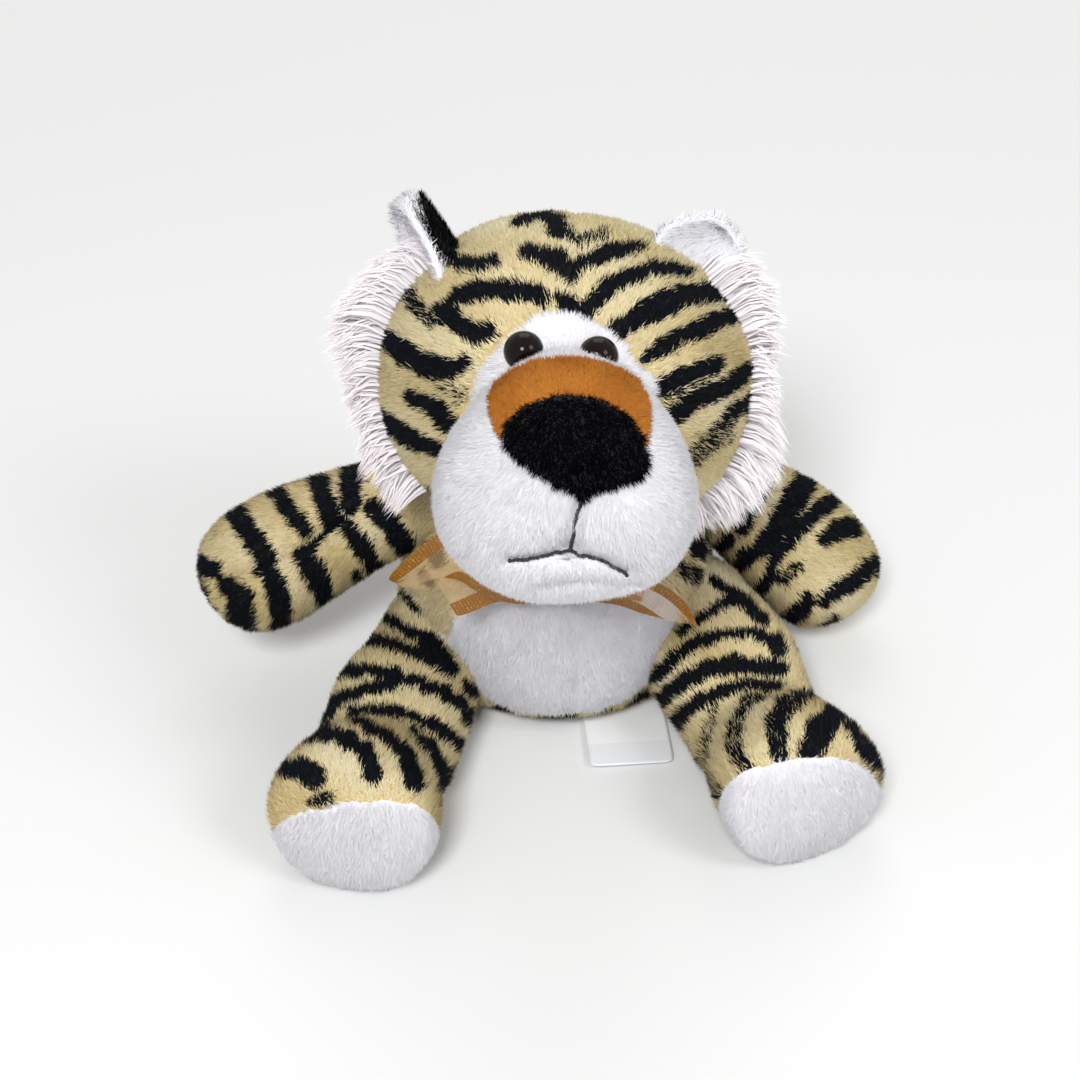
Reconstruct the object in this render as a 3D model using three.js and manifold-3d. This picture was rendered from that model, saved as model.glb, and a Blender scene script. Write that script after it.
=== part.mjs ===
// A plush tiger that sits with its legs spread and its face tilted up.
// Millimetres and degrees. +Z is up and the tiger faces -Y, so its left hand is at +X.
// The origin is on the floor, under the middle of the seat.

import * as THREE from 'three';
import { mergeVertices } from 'three/addons/utils/BufferGeometryUtils.js';
import Module from 'manifold-3d';

const wasm = await Module();
wasm.setup();

// Cloth and clearances
const PLUSH = 2.4; // plush cloth, from its backing to the tips of its pile
const GAP = 0.3; // air between two pieces
const SOCKET_GAP = 0.6; // air round the ball on which a limb turns
const SWEEP_GAP = 2.9; // air between a limb and the torso past which it turns
const BASE_CUT = 0.5; // how deep the floor flattens what rests on it
const OVERRUN = 4; // how far a cutter runs past what it cuts

// Torso
const TORSO_WIDTH = 82;
const TORSO_DEPTH = 75;
const TORSO_HEIGHT = 51;
const BELLY_WIDTH = 58;
const BELLY_HEIGHT = 43;
const BELLY_EDGE = 4.5; // floor to the belly panel's lowest seam
const POUCH_RADIUS = 16;
const POUCH_HEIGHT = 9;

// Neck
const NECK_RADIUS = 15;
const NECK_RISE = 4; // torso's top to the neck's middle
const NECK_FORWARD = 4; // torso's middle to the neck's middle
const NECK_SHOWN = 2.5; // neck's middle to the flat underside of the head

// Head
const HEAD_WIDTH = 86;
const HEAD_HEIGHT = 76;
const HEAD_DEPTH = 79;
const HEAD_LIFT = 1.6; // neck's middle to the head's lowest point, before it is cut flat
const HEAD_FORWARD = 8; // neck's middle to the head's middle
const HEAD_TILT = 26; // face's direction above the horizon
const HEAD_TURN = -4.5; // face's direction to the side, positive to its left
const HEAD_ROLL = -4; // about the face's direction

// Snout and face
const SNOUT_WIDTH = 55.5;
const SNOUT_HEIGHT = 53;
const SNOUT_TAPER = 0.2; // how much wider than its middle its underside is, as a share
const SNOUT_LENGTH = 25; // beyond the front of the head
const SNOUT_DROP = 12; // head's middle down to the snout's
const FACE_WIDTH = 33;
const FACE_TOP = 21; // head's middle up to the face panel's top
const FACE_ASIDE = 2.5; // brow and eyes off the head's middle, towards the right arm
const NOSE_WIDTH = 29;
const NOSE_HEIGHT = 20;
const NOSE_PROUD = 1.6;
const NOSE_RAISE = 10.5; // snout's middle up to the nose's
const BRIDGE_WIDTH = 34;
const BRIDGE_HEIGHT = 18;
const BRIDGE_PROUD = 1.4;
const BRIDGE_RAISE = 16.5; // snout's middle up to the bridge's
const MOUTH_WIDTH = 26;
const MOUTH_DROP = 10; // nose's bottom down to where the mouth parts
const MOUTH_FALL = 4.5; // where the mouth parts down to its corners
const THREAD = 1; // mouth thread

// Eyes
const EYE_DIAMETER = 8.2;
const EYE_DOME = 3.6;
const EYE_SPACING = 15.6;
const EYE_RAISE = 12.5; // head's middle up to the eyes
const SHANK_DIAMETER = 2.4;
const SHANK_LENGTH = 8;
const WASHER_DIAMETER = 9;
const WASHER_THICKNESS = 1;

// Ears
const EAR_WIDTH = 22;
const EAR_HEIGHT = 12.5; // beyond the head
const EAR_ROOT = 5; // within the head, before it is cut away
const EAR_THICKNESS = 6.4;
const EAR_SPREAD = 40; // ear's direction from the head's top towards its side
const EAR_FORWARD = 2; // head's middle forwards to the ears
const EAR_FLOP = 20; // either way

// Ruffs
const RUFF_HEIGHT = 64;
const RUFF_THICKNESS = 12;
const RUFF_REACH = 12; // beyond the side of the head
const RUFF_SETBACK = 12; // head's middle back to the ruffs
const RUFF_RAISE = 3; // head's middle up to the ruffs'

// Arms
const ARM_LENGTH = 63; // shoulder's middle to the paw's tip
const ARM_WIDTH = 34;
const ARM_THICKNESS = 27;
const SHOULDER_RADIUS = 13;
const SHOULDER_SPACING = 62;
const SHOULDER_HEIGHT = 46;
const SHOULDER_SETBACK = 8;
const ARM_FACING = 45; // how far the arm's broad side is turned up from the front
// How far the shoulder points down and forwards, how far the arm bends down from there, and its swing
const LEFT_ARM = { drop: 23, forward: 0, bend: 45, down: 0, up: 26 };
const RIGHT_ARM = { drop: 14, forward: 6, bend: 15, down: 10, up: 14 };

// Legs
const LEG_LENGTH = 66; // hip's middle to the sole
const HIP_RADIUS = 17;
const HIP_SPACING = 68;
const HIP_FORWARD = 14;
const THIGH_WIDTH = 40;
const FOOT_WIDTH = 42;
const FOOT_HEIGHT = 35;
const SOLE_BULGE = 3.5;
const SOLE_LEAN = 12;
const SOLE_DEPTH = 5; // sole's seam to its rim
const LEFT_LEG_SPLAY = 15.5;
const RIGHT_LEG_SPLAY = 20;
const LEG_RAISE = 12;

// Tail
const TAIL_LENGTH = 62;
const TAIL_DIAMETER = 11;
const TAIL_CURL = 16; // how far its tip lies to the side
const TAIL_ROOT_RADIUS = 6.8;
const TAIL_ROOT_HEIGHT = 8;
const TAIL_ROOT_BACK = 35; // seat's middle back to the tail's root

// Ribbon and label
const RIBBON = 0.8; // ribbon, folded on itself
const COLLAR_HEIGHT = 3;
const KNOT_WIDTH = 9;
const KNOT_HEIGHT = 8;
const KNOT_DEPTH = 6;
const LEFT_LOOP_LENGTH = 27;
const LEFT_LOOP_WIDTH = 10;
const RIGHT_LOOP_LENGTH = 38;
const RIGHT_LOOP_WIDTH = 14;
const LEFT_RIBBON_TAIL = 26;
const RIGHT_RIBBON_TAIL = 20;
const RIBBON_FALL = 18; // ribbon tails below the horizon
const RIBBON_LEAN = 45; // ribbon tails against the upright
const RIBBON_WIDTH = 12;
const LABEL_WIDTH = 21;
const LABEL_LENGTH = 24; // with what lies under the seat
const LABEL_THICKNESS = 0.6;
const LABEL_ASIDE = 14;
const LABEL_FRONT = 48; // seat's middle forwards to the label's free edge

// Counts
const SIDES = 18;
const LIMB_SIDES = 12;
const LINING_SIDES = 12; // round the inner face of a cover
const LIMB_LINING_SIDES = 8;
const BALL_DETAIL = 2;
const HEAD_RINGS = 10;
const HEAD_LINING_RINGS = 6;
const OUTLINE_SIDES = 16;
const END_RINGS = 3; // rings of a limb's round inner end
const SWEEP_STEP = 30; // degrees between the places where a moving piece is cleared

// Fullness of a rounded shape: 1 for an ellipse, less for one nearer to a box
const HEAD_FULLNESS = 0.92;
const EAR_FULLNESS = 0.8;
const KNOT_FULLNESS = 0.6;

// Shapes as shares of the sizes above
// Torso: height, girth
const torsoShares = [
  [0, 0],
  [0, 0.6],
  [0.035, 0.81],
  [0.12, 0.94],
  [0.25, 1],
  [0.4, 1],
  [0.56, 0.97],
  [0.7, 0.92],
  [0.82, 0.84],
  [0.91, 0.72],
  [0.97, 0.54],
  [1, 0.3],
  [1, 0],
];
// Snout: distance from the head's middle to the tip, width, height
const snoutShares = [
  [0.1, 0, 0],
  [0.15, 0.62, 0.7],
  [0.45, 0.86, 0.95],
  [0.64, 0.98, 1],
  [0.76, 1, 0.99],
  [0.86, 0.93, 0.92],
  [0.93, 0.76, 0.76],
  [0.98, 0.46, 0.46],
  [1, 0, 0],
];
// Nose and bridge outlines: across, up
const noseShares = [
  [0, 0.5],
  [0.33, 0.44],
  [0.5, 0.12],
  [0.4, -0.22],
  [0.12, -0.47],
  [-0.12, -0.47],
  [-0.4, -0.22],
  [-0.5, 0.12],
  [-0.33, 0.44],
];
const bridgeShares = [
  [0, 0.5],
  [0.3, 0.36],
  [0.47, 0.02],
  [0.46, -0.4],
  [0, -0.5],
  [-0.46, -0.4],
  [-0.47, 0.02],
  [-0.3, 0.36],
];
// Arm: distance from the shoulder's middle, width, thickness
const armShares = [
  [0.14, 0.76, 0.96],
  [0.3, 0.82, 0.98],
  [0.46, 0.92, 1],
  [0.62, 0.99, 1],
  [0.76, 1, 0.97],
  [0.87, 0.9, 0.86],
  [0.95, 0.64, 0.62],
  [0.99, 0.3, 0.3],
  [1, 0, 0],
];
// Leg: distance from the hip's middle, width between thigh and foot, width and height as shares
// of the thigh's (first rows) or the foot's (last rows), lean of the ring
const thighShares = [
  [0.14, 1, 0.97, 0],
  [0.3, 0.98, 0.92, 0],
  [0.46, 0.91, 0.81, 0],
  [0.56, 0.9, 0.78, 0.15],
];
const footShares = [
  [0.68, 0.85, 0.84, 0.45],
  [0.8, 0.96, 0.95, 0.8],
  [0.9, 1, 1, 1],
  [0.96, 0.98, 0.98, 1],
  [1, 0.9, 0.9, 1],
];
const soleShares = [
  [0.55, 0.7],
  [0.9, 0.38],
  [1, 0],
];
// Tail: distance from the root, girth, sideways, down towards the floor
const tailShares = [
  [0.14, 1, 0.01, 0.3],
  [0.3, 0.97, 0.07, 0.8],
  [0.46, 0.95, 0.18, 1],
  [0.62, 0.95, 0.36, 1],
  [0.78, 0.97, 0.6, 1],
  [0.9, 0.93, 0.82, 1],
  [0.97, 0.62, 0.95, 1],
  [1, 0, 1, 1],
];
// Bow loop: out from the knot, up
const loopShares = [
  [0, 0.22],
  [0.66, 0.62],
  [0.74, 0.62],
  [1, -0.3],
  [0.94, -0.4],
  [0, -0.22],
];
// Ribbon tail: along, across
const ribbonTailShares = [
  [0, 0.25],
  [1, 0.5],
  [0.86, -0.5],
  [0, -0.25],
];

// Finishes
const cloth = (color) => new THREE.MeshStandardMaterial({ color, roughness: 0.9, metalness: 0 });
const striped = cloth('#cdb98a');
const whitePlush = cloth('#f1edee');
const orangePlush = cloth('#c0762c');
const blackPlush = cloth('#15141a');
const longPile = cloth('#efe2e4');
const wadding = cloth('#e9e6df');
const pellets = cloth('#d9d5c8');
const blackThread = cloth('#1c1a1d');
const labelTape = cloth('#f3f4f5');
const ribbonCloth = new THREE.MeshStandardMaterial({ color: '#c9952f', roughness: 0.45, metalness: 0 });
const eyePlastic = new THREE.MeshStandardMaterial({ color: '#24120c', roughness: 0.12, metalness: 0 });
const washerPlastic = new THREE.MeshStandardMaterial({ color: '#e7e7e3', roughness: 0.5, metalness: 0 });

const rad = THREE.MathUtils.degToRad;
const X = new THREE.Vector3(1, 0, 0);
const Z = new THREE.Vector3(0, 0, 1);

// Solids and geometry
function bareCopy(geometry) {
  const bare = geometry.clone();
  bare.deleteAttribute('normal');
  bare.deleteAttribute('uv');
  return mergeVertices(bare);
}

function solidOf(geometry, body) {
  const bare = bareCopy(geometry);
  if (body) bare.applyMatrix4(body.matrixWorld);
  const vertProperties = Float32Array.from(bare.attributes.position.array);
  const triVerts = Uint32Array.from(bare.index.array);
  return new wasm.Manifold(new wasm.Mesh({ numProp: 3, vertProperties, triVerts }));
}

function geometryOf(solid) {
  const mesh = solid.getMesh();
  const geometry = new THREE.BufferGeometry();
  geometry.setAttribute('position', new THREE.BufferAttribute(Float32Array.from(mesh.vertProperties), 3));
  geometry.setIndex(new THREE.BufferAttribute(Uint32Array.from(mesh.triVerts), 1));
  geometry.computeVertexNormals();
  return geometry;
}

// A closed body through rings along its own Z, from the lowest pole to the highest. Of each ring a and b
// are the half sizes across, x and y its middle, lean tips it towards its +Y, and taper narrows its +Y side.
function loft(rings, sides) {
  const rows = rings.length - 1;
  const geometry = new THREE.SphereGeometry(1, sides, rows);
  const place = geometry.attributes.position;
  for (let row = 0; row <= rows; row++) {
    const { z, a, b, x = 0, y = 0, lean = 0, taper = 0 } = rings[rows - row];
    for (let column = 0; column <= sides; column++) {
      const turn = (column / sides) * 2 * Math.PI;
      const across = -Math.cos(turn) * a * (1 + taper * Math.sin(turn));
      const up = -Math.sin(turn) * b;
      place.setXYZ(row * (sides + 1) + column, x + across, y + up, z - lean * (y + up));
    }
  }
  return geometry;
}

// Every other one of some rings or shares, with both ends kept
function fewer(rows) {
  return rows.filter((row, index) => index % 2 === 0 || index === rows.length - 1);
}

// Rings of an ellipsoid, or of a fuller shape
function ovalRings(a, b, c, rows, fullness = HEAD_FULLNESS) {
  const rings = [];
  for (let row = 0; row <= rows; row++) {
    const turn = (row / rows) * Math.PI;
    const girth = row === 0 || row === rows ? 0 : Math.sin(turn) ** fullness;
    rings.push({ z: -Math.cos(turn) * c, a: a * girth, b: b * girth });
  }
  return rings;
}

// Rings of the half ball in which a limb ends inside the torso
function endRings(radius) {
  const rings = [];
  for (let row = 0; row <= END_RINGS; row++) {
    const turn = (row / END_RINGS) * (Math.PI / 2);
    rings.push({ z: -Math.cos(turn) * radius, a: Math.sin(turn) * radius, b: Math.sin(turn) * radius });
  }
  return rings;
}

// The solid inside a surface that has moved out along its normals, or in where the distance is negative
function skinOf(geometry, body) {
  const base = bareCopy(geometry);
  base.computeVertexNormals();
  return (distance) => {
    const moved = base.clone();
    const place = moved.attributes.position;
    const normal = base.attributes.normal;
    for (let i = 0; i < place.count; i++) {
      const x = place.getX(i) + distance * normal.getX(i);
      const y = place.getY(i) + distance * normal.getY(i);
      const z = place.getZ(i) + distance * normal.getZ(i);
      place.setXYZ(i, x, y, z);
    }
    return solidOf(moved, body);
  };
}

function ball(radius, middle) {
  const geometry = new THREE.IcosahedronGeometry(radius, BALL_DETAIL);
  return solidOf(geometry.translate(middle.x, middle.y, middle.z));
}

function block(low, high) {
  const size = high.clone().sub(low);
  const middle = low.clone().add(high).multiplyScalar(0.5);
  const geometry = new THREE.BoxGeometry(size.x, size.y, size.z);
  return solidOf(geometry.translate(middle.x, middle.y, middle.z));
}

// A smooth closed outline through shares of a width and a height, moved out by a margin
function outline(shares, width, height, margin = 0) {
  const points = shares.map(([across, up]) => {
    const point = new THREE.Vector2(across * width, up * height);
    return point.setLength(point.length() + margin);
  });
  const corners = points.map((point) => new THREE.Vector3(point.x, point.y, 0));
  const curve = new THREE.CatmullRomCurve3(corners, true);
  return new THREE.Shape(curve.getPoints(2 * points.length).slice(0, -1));
}

// An outline of the face, run forwards through the snout
function faceCutter(shape, up, from) {
  const depth = HEAD_DEPTH / 2 + SNOUT_LENGTH + OVERRUN - from;
  const options = { depth, bevelEnabled: false, curveSegments: OUTLINE_SIDES / 2 };
  const geometry = new THREE.ExtrudeGeometry(shape, options);
  return solidOf(geometry.translate(0, up, from), head);
}

function turned(solid, pivot, axis, degrees) {
  const there = new THREE.Matrix4().makeTranslation(pivot);
  const back = new THREE.Matrix4().makeTranslation(pivot.clone().negate());
  const turn = new THREE.Matrix4().makeRotationAxis(axis, rad(degrees));
  return solid.transform([...there.multiply(turn).multiply(back).elements]);
}

// Everywhere that a fixed solid reaches, seen from a piece that turns from one angle to another
function sweep(solid, pivot, axis, from, to) {
  const steps = Math.max(1, Math.ceil((to - from) / SWEEP_STEP));
  let swept = turned(solid, pivot, axis, -from);
  for (let step = 1; step <= steps; step++) {
    swept = swept.add(turned(solid, pivot, axis, -(from + ((to - from) * step) / steps)));
  }
  return swept;
}

const tiger = new THREE.Group();

function bodyAt(position, turn = new THREE.Quaternion(), parent = tiger) {
  const body = new THREE.Group();
  body.position.copy(position);
  body.quaternion.copy(turn);
  parent.add(body);
  body.updateWorldMatrix(true, false);
  return body;
}

function frameTurn(across, up, along) {
  return new THREE.Quaternion().setFromRotationMatrix(new THREE.Matrix4().makeBasis(across, up, along));
}

function place(body, name, solid, finish) {
  const own = solid.transform([...body.matrixWorld.clone().invert().elements]);
  const mesh = new THREE.Mesh(geometryOf(own), finish);
  mesh.name = name;
  body.add(mesh);
}

// Where the bodies are
const origin = new THREE.Vector3();
const neckMiddle = new THREE.Vector3(0, -NECK_FORWARD, TORSO_HEIGHT + NECK_RISE);
const headOffset = new THREE.Vector3(0, -HEAD_FORWARD, HEAD_LIFT + HEAD_HEIGHT / 2);
const headMiddle = neckMiddle.clone().add(headOffset);
const torso = bodyAt(origin);
const neck = bodyAt(neckMiddle);
// In the head's own frame +Z is forwards along the face's direction and +Y is up.
const headTurn = new THREE.Quaternion().setFromAxisAngle(Z, rad(HEAD_TURN));
headTurn.multiply(new THREE.Quaternion().setFromAxisAngle(X, rad(90 - HEAD_TILT)));
headTurn.multiply(new THREE.Quaternion().setFromAxisAngle(Z, rad(HEAD_ROLL)));
const head = bodyAt(headMiddle, headTurn);

// Above the floor
const room = TORSO_WIDTH + ARM_LENGTH + LEG_LENGTH + TAIL_LENGTH;
const aboveFloor = block(
  new THREE.Vector3(-room, -room, 0),
  new THREE.Vector3(room, room, neckMiddle.z + HEAD_HEIGHT + EAR_HEIGHT),
);

// Torso shape and the balls on which the limbs, the neck and the tail turn
function torsoGeometry(shares, sides) {
  const tall = TORSO_HEIGHT + BASE_CUT;
  const rings = shares.map(([height, girth]) => ({
    z: height * tall - BASE_CUT,
    a: (girth * TORSO_WIDTH) / 2,
    b: (girth * TORSO_DEPTH) / 2,
  }));
  return loft(rings, sides);
}

const torsoSkin = skinOf(torsoGeometry(torsoShares, SIDES), torso);
// The same shape in fewer faces, for the inner side of the cover and for what turns past the torso
const torsoLining = skinOf(torsoGeometry(fewer(torsoShares), LINING_SIDES), torso);
const neckBall = (margin) => ball(NECK_RADIUS + margin, neckMiddle);

// An arm's or a leg's side is 1 for the tiger's left, at +X, and -1 for its right.
function armFrame(side, pose) {
  const middle = new THREE.Vector3((side * SHOULDER_SPACING) / 2, SHOULDER_SETBACK, SHOULDER_HEIGHT);
  const level = Math.cos(rad(pose.drop));
  const along = new THREE.Vector3(
    side * level * Math.cos(rad(pose.forward)),
    -level * Math.sin(rad(pose.forward)),
    -Math.sin(rad(pose.drop)),
  );
  const facing = new THREE.Vector3(0, -Math.cos(rad(ARM_FACING)), Math.sin(rad(ARM_FACING)));
  const across = facing.clone().cross(along).normalize();
  const up = along.clone().cross(across);
  const axis = new THREE.Vector3(0, -side, 0);
  const range = [-pose.down, pose.up];
  const body = bodyAt(middle, frameTurn(across, up, along));
  return { side, middle, axis, range, bend: side * pose.bend, body };
}

function legFrame(side, splay) {
  const middle = new THREE.Vector3((side * HIP_SPACING) / 2, -HIP_FORWARD, HIP_RADIUS - BASE_CUT);
  const along = new THREE.Vector3(side * Math.sin(rad(splay)), -Math.cos(rad(splay)), 0);
  const axis = along.clone().cross(Z);
  const across = Z.clone().cross(along);
  return { side, middle, axis, range: [0, LEG_RAISE], body: bodyAt(middle, frameTurn(across, Z, along)) };
}

const sideNames = { '1': 'left', '-1': 'right' };
const arms = [armFrame(1, LEFT_ARM), armFrame(-1, RIGHT_ARM)];
const legs = [legFrame(1, LEFT_LEG_SPLAY), legFrame(-1, RIGHT_LEG_SPLAY)];
const tailMiddle = new THREE.Vector3(0, TAIL_ROOT_BACK, TAIL_ROOT_HEIGHT);
const tail = bodyAt(tailMiddle, new THREE.Quaternion().setFromAxisAngle(X, rad(-90)));

function sockets() {
  let cut = neckBall(SOCKET_GAP).add(ball(TAIL_ROOT_RADIUS + SOCKET_GAP, tailMiddle));
  for (const arm of arms) cut = cut.add(ball(SHOULDER_RADIUS + SOCKET_GAP, arm.middle));
  for (const leg of legs) cut = cut.add(ball(HIP_RADIUS + SOCKET_GAP, leg.middle));
  return cut;
}

// An oval on the belly, run forwards out of the torso
function bellyCutter(margin) {
  const shape = new THREE.Shape();
  shape.absellipse(0, 0, BELLY_WIDTH / 2 + margin, BELLY_HEIGHT / 2 + margin, 0, 2 * Math.PI);
  const depth = TORSO_DEPTH / 2 + OVERRUN;
  const options = { depth, bevelEnabled: false, curveSegments: OUTLINE_SIDES / 2 };
  const geometry = new THREE.ExtrudeGeometry(shape, options);
  return solidOf(geometry.rotateX(Math.PI / 2).translate(0, 0, BELLY_EDGE + BELLY_HEIGHT / 2));
}

function seatPouch(margin) {
  const radius = POUCH_RADIUS + margin;
  const rings = ovalRings(radius, radius, POUCH_HEIGHT / 2 + margin, END_RINGS + 2);
  return solidOf(loft(rings, LIMB_SIDES).translate(0, 0, PLUSH + 2 * GAP + POUCH_HEIGHT / 2));
}

function makeTorso() {
  const joints = sockets();
  const shell = torsoSkin(0).intersect(aboveFloor).subtract(torsoLining(-PLUSH)).subtract(joints);
  place(torso, 'torso_cover', shell.subtract(bellyCutter(GAP / 2)), striped);
  place(torso, 'belly_panel', shell.intersect(bellyCutter(-GAP / 2)), whitePlush);
  const filling = torsoLining(-PLUSH - GAP).subtract(joints).subtract(seatPouch(GAP));
  const bore = POUCH_RADIUS / 2;
  const mouth = new THREE.CylinderGeometry(bore, bore, PLUSH + POUCH_HEIGHT, LIMB_SIDES);
  const opening = solidOf(mouth.rotateX(Math.PI / 2).translate(0, 0, PLUSH));
  place(torso, 'torso_stuffing', filling.subtract(opening), wadding);
  place(torso, 'seat_bean_pouch', seatPouch(0), pellets);
}

function makeNeck() {
  place(neck, 'neck_stuffing', neckBall(0), wadding);
}

// Head
function headGeometry(rows, sides) {
  return loft(ovalRings(HEAD_WIDTH / 2, HEAD_HEIGHT / 2, HEAD_DEPTH / 2, rows), sides);
}

const headSkin = skinOf(headGeometry(HEAD_RINGS, SIDES), head);
const headLining = skinOf(headGeometry(HEAD_LINING_RINGS, LINING_SIDES), head);

function snoutGeometry(shares, sides) {
  const reach = HEAD_DEPTH / 2 + SNOUT_LENGTH;
  const rings = shares.map(([along, wide, tall]) => ({
    z: along * reach,
    a: (wide * SNOUT_WIDTH) / 2,
    b: (tall * SNOUT_HEIGHT) / 2,
    taper: SNOUT_TAPER,
  }));
  return loft(rings, sides).translate(0, -SNOUT_DROP, 0);
}

const snoutSkin = skinOf(snoutGeometry(snoutShares, SIDES), head);
const snoutLining = skinOf(snoutGeometry(fewer(snoutShares), LINING_SIDES), head);
const noseUp = NOSE_RAISE - SNOUT_DROP;
const bridgeUp = BRIDGE_RAISE - SNOUT_DROP;
const faceFrom = HEAD_DEPTH / 4;
const noseCutter = (margin) =>
  faceCutter(outline(noseShares, NOSE_WIDTH, NOSE_HEIGHT, margin), noseUp, HEAD_DEPTH / 2);
const bridgeCutter = (margin) =>
  faceCutter(outline(bridgeShares, BRIDGE_WIDTH, BRIDGE_HEIGHT, margin), bridgeUp, faceFrom);

function patchCutter(margin) {
  const shape = new THREE.Shape();
  const tall = (FACE_TOP + SNOUT_DROP) / 2;
  shape.absellipse(-FACE_ASIDE, 0, FACE_WIDTH / 2 + margin, tall + margin, 0, 2 * Math.PI);
  return faceCutter(shape, FACE_TOP - tall, faceFrom);
}

// Below the flat underside on which the head meets the neck
const underHead = block(
  new THREE.Vector3(-HEAD_WIDTH, -HEAD_DEPTH - SNOUT_LENGTH, 0),
  new THREE.Vector3(HEAD_WIDTH, HEAD_DEPTH, neckMiddle.z + NECK_SHOWN),
);
const neckOpening = neckBall(SOCKET_GAP).add(underHead);

// How far forwards the head's surface lies at a place on the face
function faceDepth(across, up) {
  const share = 1 - ((2 * across) / HEAD_WIDTH) ** 2 - ((2 * up) / HEAD_HEIGHT) ** 2;
  return (Math.sqrt(share) * HEAD_DEPTH) / 2;
}

function eyeFrame(side) {
  const across = (side * EYE_SPACING) / 2 - FACE_ASIDE;
  const seat = new THREE.Vector3(across, EYE_RAISE, faceDepth(across, EYE_RAISE));
  const along = new THREE.Vector3(across / HEAD_WIDTH, EYE_RAISE / HEAD_HEIGHT, seat.z / HEAD_DEPTH);
  along.normalize();
  const turn = new THREE.Quaternion().setFromUnitVectors(new THREE.Vector3(0, 1, 0), along);
  return { side, body: bodyAt(seat, turn, head) };
}

// A dome on a shank, along the eye's own +Y
function eyeSolid(eye, margin) {
  const shank = SHANK_DIAMETER / 2 + margin;
  const rim = EYE_DIAMETER / 2 + margin;
  const profile = [
    new THREE.Vector2(0, -SHANK_LENGTH - margin),
    new THREE.Vector2(shank, -SHANK_LENGTH - margin),
    new THREE.Vector2(shank, -margin),
  ];
  for (let step = 0; step <= END_RINGS; step++) {
    const turn = (step / END_RINGS) * (Math.PI / 2);
    const across = step === END_RINGS ? 0 : rim * Math.cos(turn);
    profile.push(new THREE.Vector2(across, (EYE_DOME + 2 * margin) * Math.sin(turn) - margin));
  }
  return solidOf(new THREE.LatheGeometry(profile, LIMB_SIDES), eye.body);
}

// A ring on the shank, behind the cloth
function washerSolid(eye, margin) {
  const inner = SHANK_DIAMETER / 2 + GAP - margin;
  const outer = WASHER_DIAMETER / 2 + margin;
  const top = -PLUSH - GAP + margin;
  const bottom = -PLUSH - GAP - WASHER_THICKNESS - margin;
  const profile = [
    new THREE.Vector2(inner, bottom),
    new THREE.Vector2(outer, bottom),
    new THREE.Vector2(outer, top),
    new THREE.Vector2(inner, top),
    new THREE.Vector2(inner, bottom),
  ];
  return solidOf(new THREE.LatheGeometry(profile, LIMB_SIDES), eye.body);
}

// A thread along points on the snout, of one radius
function threadSolid(points, radius) {
  const section = new THREE.Shape();
  section.absarc(0, 0, radius, 0, 2 * Math.PI);
  const path = new THREE.CatmullRomCurve3(points);
  const options = { steps: points.length, extrudePath: path, curveSegments: 2, bevelEnabled: false };
  return solidOf(new THREE.ExtrudeGeometry(section, options), head);
}

// The mouth: one thread down from the nose, and one to each corner
function mouthSolid(margin) {
  const snout = new THREE.Mesh(snoutGeometry(snoutShares, SIDES));
  const ray = new THREE.Raycaster();
  const onSnout = (across, up) => {
    ray.set(new THREE.Vector3(across, up, HEAD_DEPTH + SNOUT_LENGTH), Z.clone().negate());
    return ray.intersectObject(snout)[0].point;
  };
  const noseBottom = noseUp - NOSE_HEIGHT / 2;
  const parting = noseBottom - MOUTH_DROP;
  const radius = THREAD / 2 + margin;
  const steps = [0, 1 / 3, 2 / 3, 1];
  const start = noseBottom - THREAD;
  const down = steps.map((share) => onSnout(0, start + share * (parting - start)));
  let mouth = threadSolid(down, radius);
  for (const side of [1, -1]) {
    const corner = steps.map((share) => {
      const across = (side * share * MOUTH_WIDTH) / 2;
      return onSnout(across, parting - share ** 2 * MOUTH_FALL);
    });
    mouth = mouth.add(threadSolid(corner, radius));
  }
  return mouth;
}

function makeHead() {
  const eyes = [eyeFrame(1), eyeFrame(-1)];
  const noseSolid = snoutSkin(NOSE_PROUD).subtract(snoutLining(-PLUSH)).intersect(noseCutter(0));
  let bridgeSolid = snoutSkin(BRIDGE_PROUD).subtract(snoutLining(-PLUSH)).intersect(bridgeCutter(0));
  bridgeSolid = bridgeSolid.subtract(noseCutter(GAP)).subtract(headSkin(GAP));

  const faceOuter = snoutSkin(0).add(headSkin(0).intersect(patchCutter(0)));
  let face = faceOuter.subtract(snoutLining(-PLUSH)).subtract(headLining(-PLUSH));
  face = face.subtract(noseCutter(GAP)).subtract(bridgeCutter(GAP).subtract(headSkin(0)));
  face = face.subtract(mouthSolid(GAP / 2));

  const faceOpening = snoutSkin(GAP).add(patchCutter(GAP));
  const cover = headSkin(0).subtract(headLining(-PLUSH)).subtract(faceOpening).subtract(neckOpening);
  const inside = -PLUSH - GAP;
  let filling = headLining(inside).add(snoutLining(inside)).subtract(neckOpening);

  for (const eye of eyes) {
    const hole = eyeSolid(eye, GAP);
    const slot = washerSolid(eye, GAP);
    bridgeSolid = bridgeSolid.subtract(hole).subtract(slot);
    face = face.subtract(hole).subtract(slot);
    filling = filling.subtract(hole).subtract(slot);
    place(eye.body, `eye_${sideNames[eye.side]}`, eyeSolid(eye, 0), eyePlastic);
    place(eye.body, `eye_washer_${sideNames[eye.side]}`, washerSolid(eye, 0), washerPlastic);
  }
  place(head, 'head_cover', cover, striped);
  place(head, 'head_stuffing', filling, wadding);
  place(head, 'face_panel', face.subtract(neckOpening), whitePlush);
  place(head, 'nose', noseSolid, blackPlush);
  place(head, 'nose_bridge', bridgeSolid, orangePlush);
  place(head, 'mouth_stitch', mouthSolid(0), blackThread);
}

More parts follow.
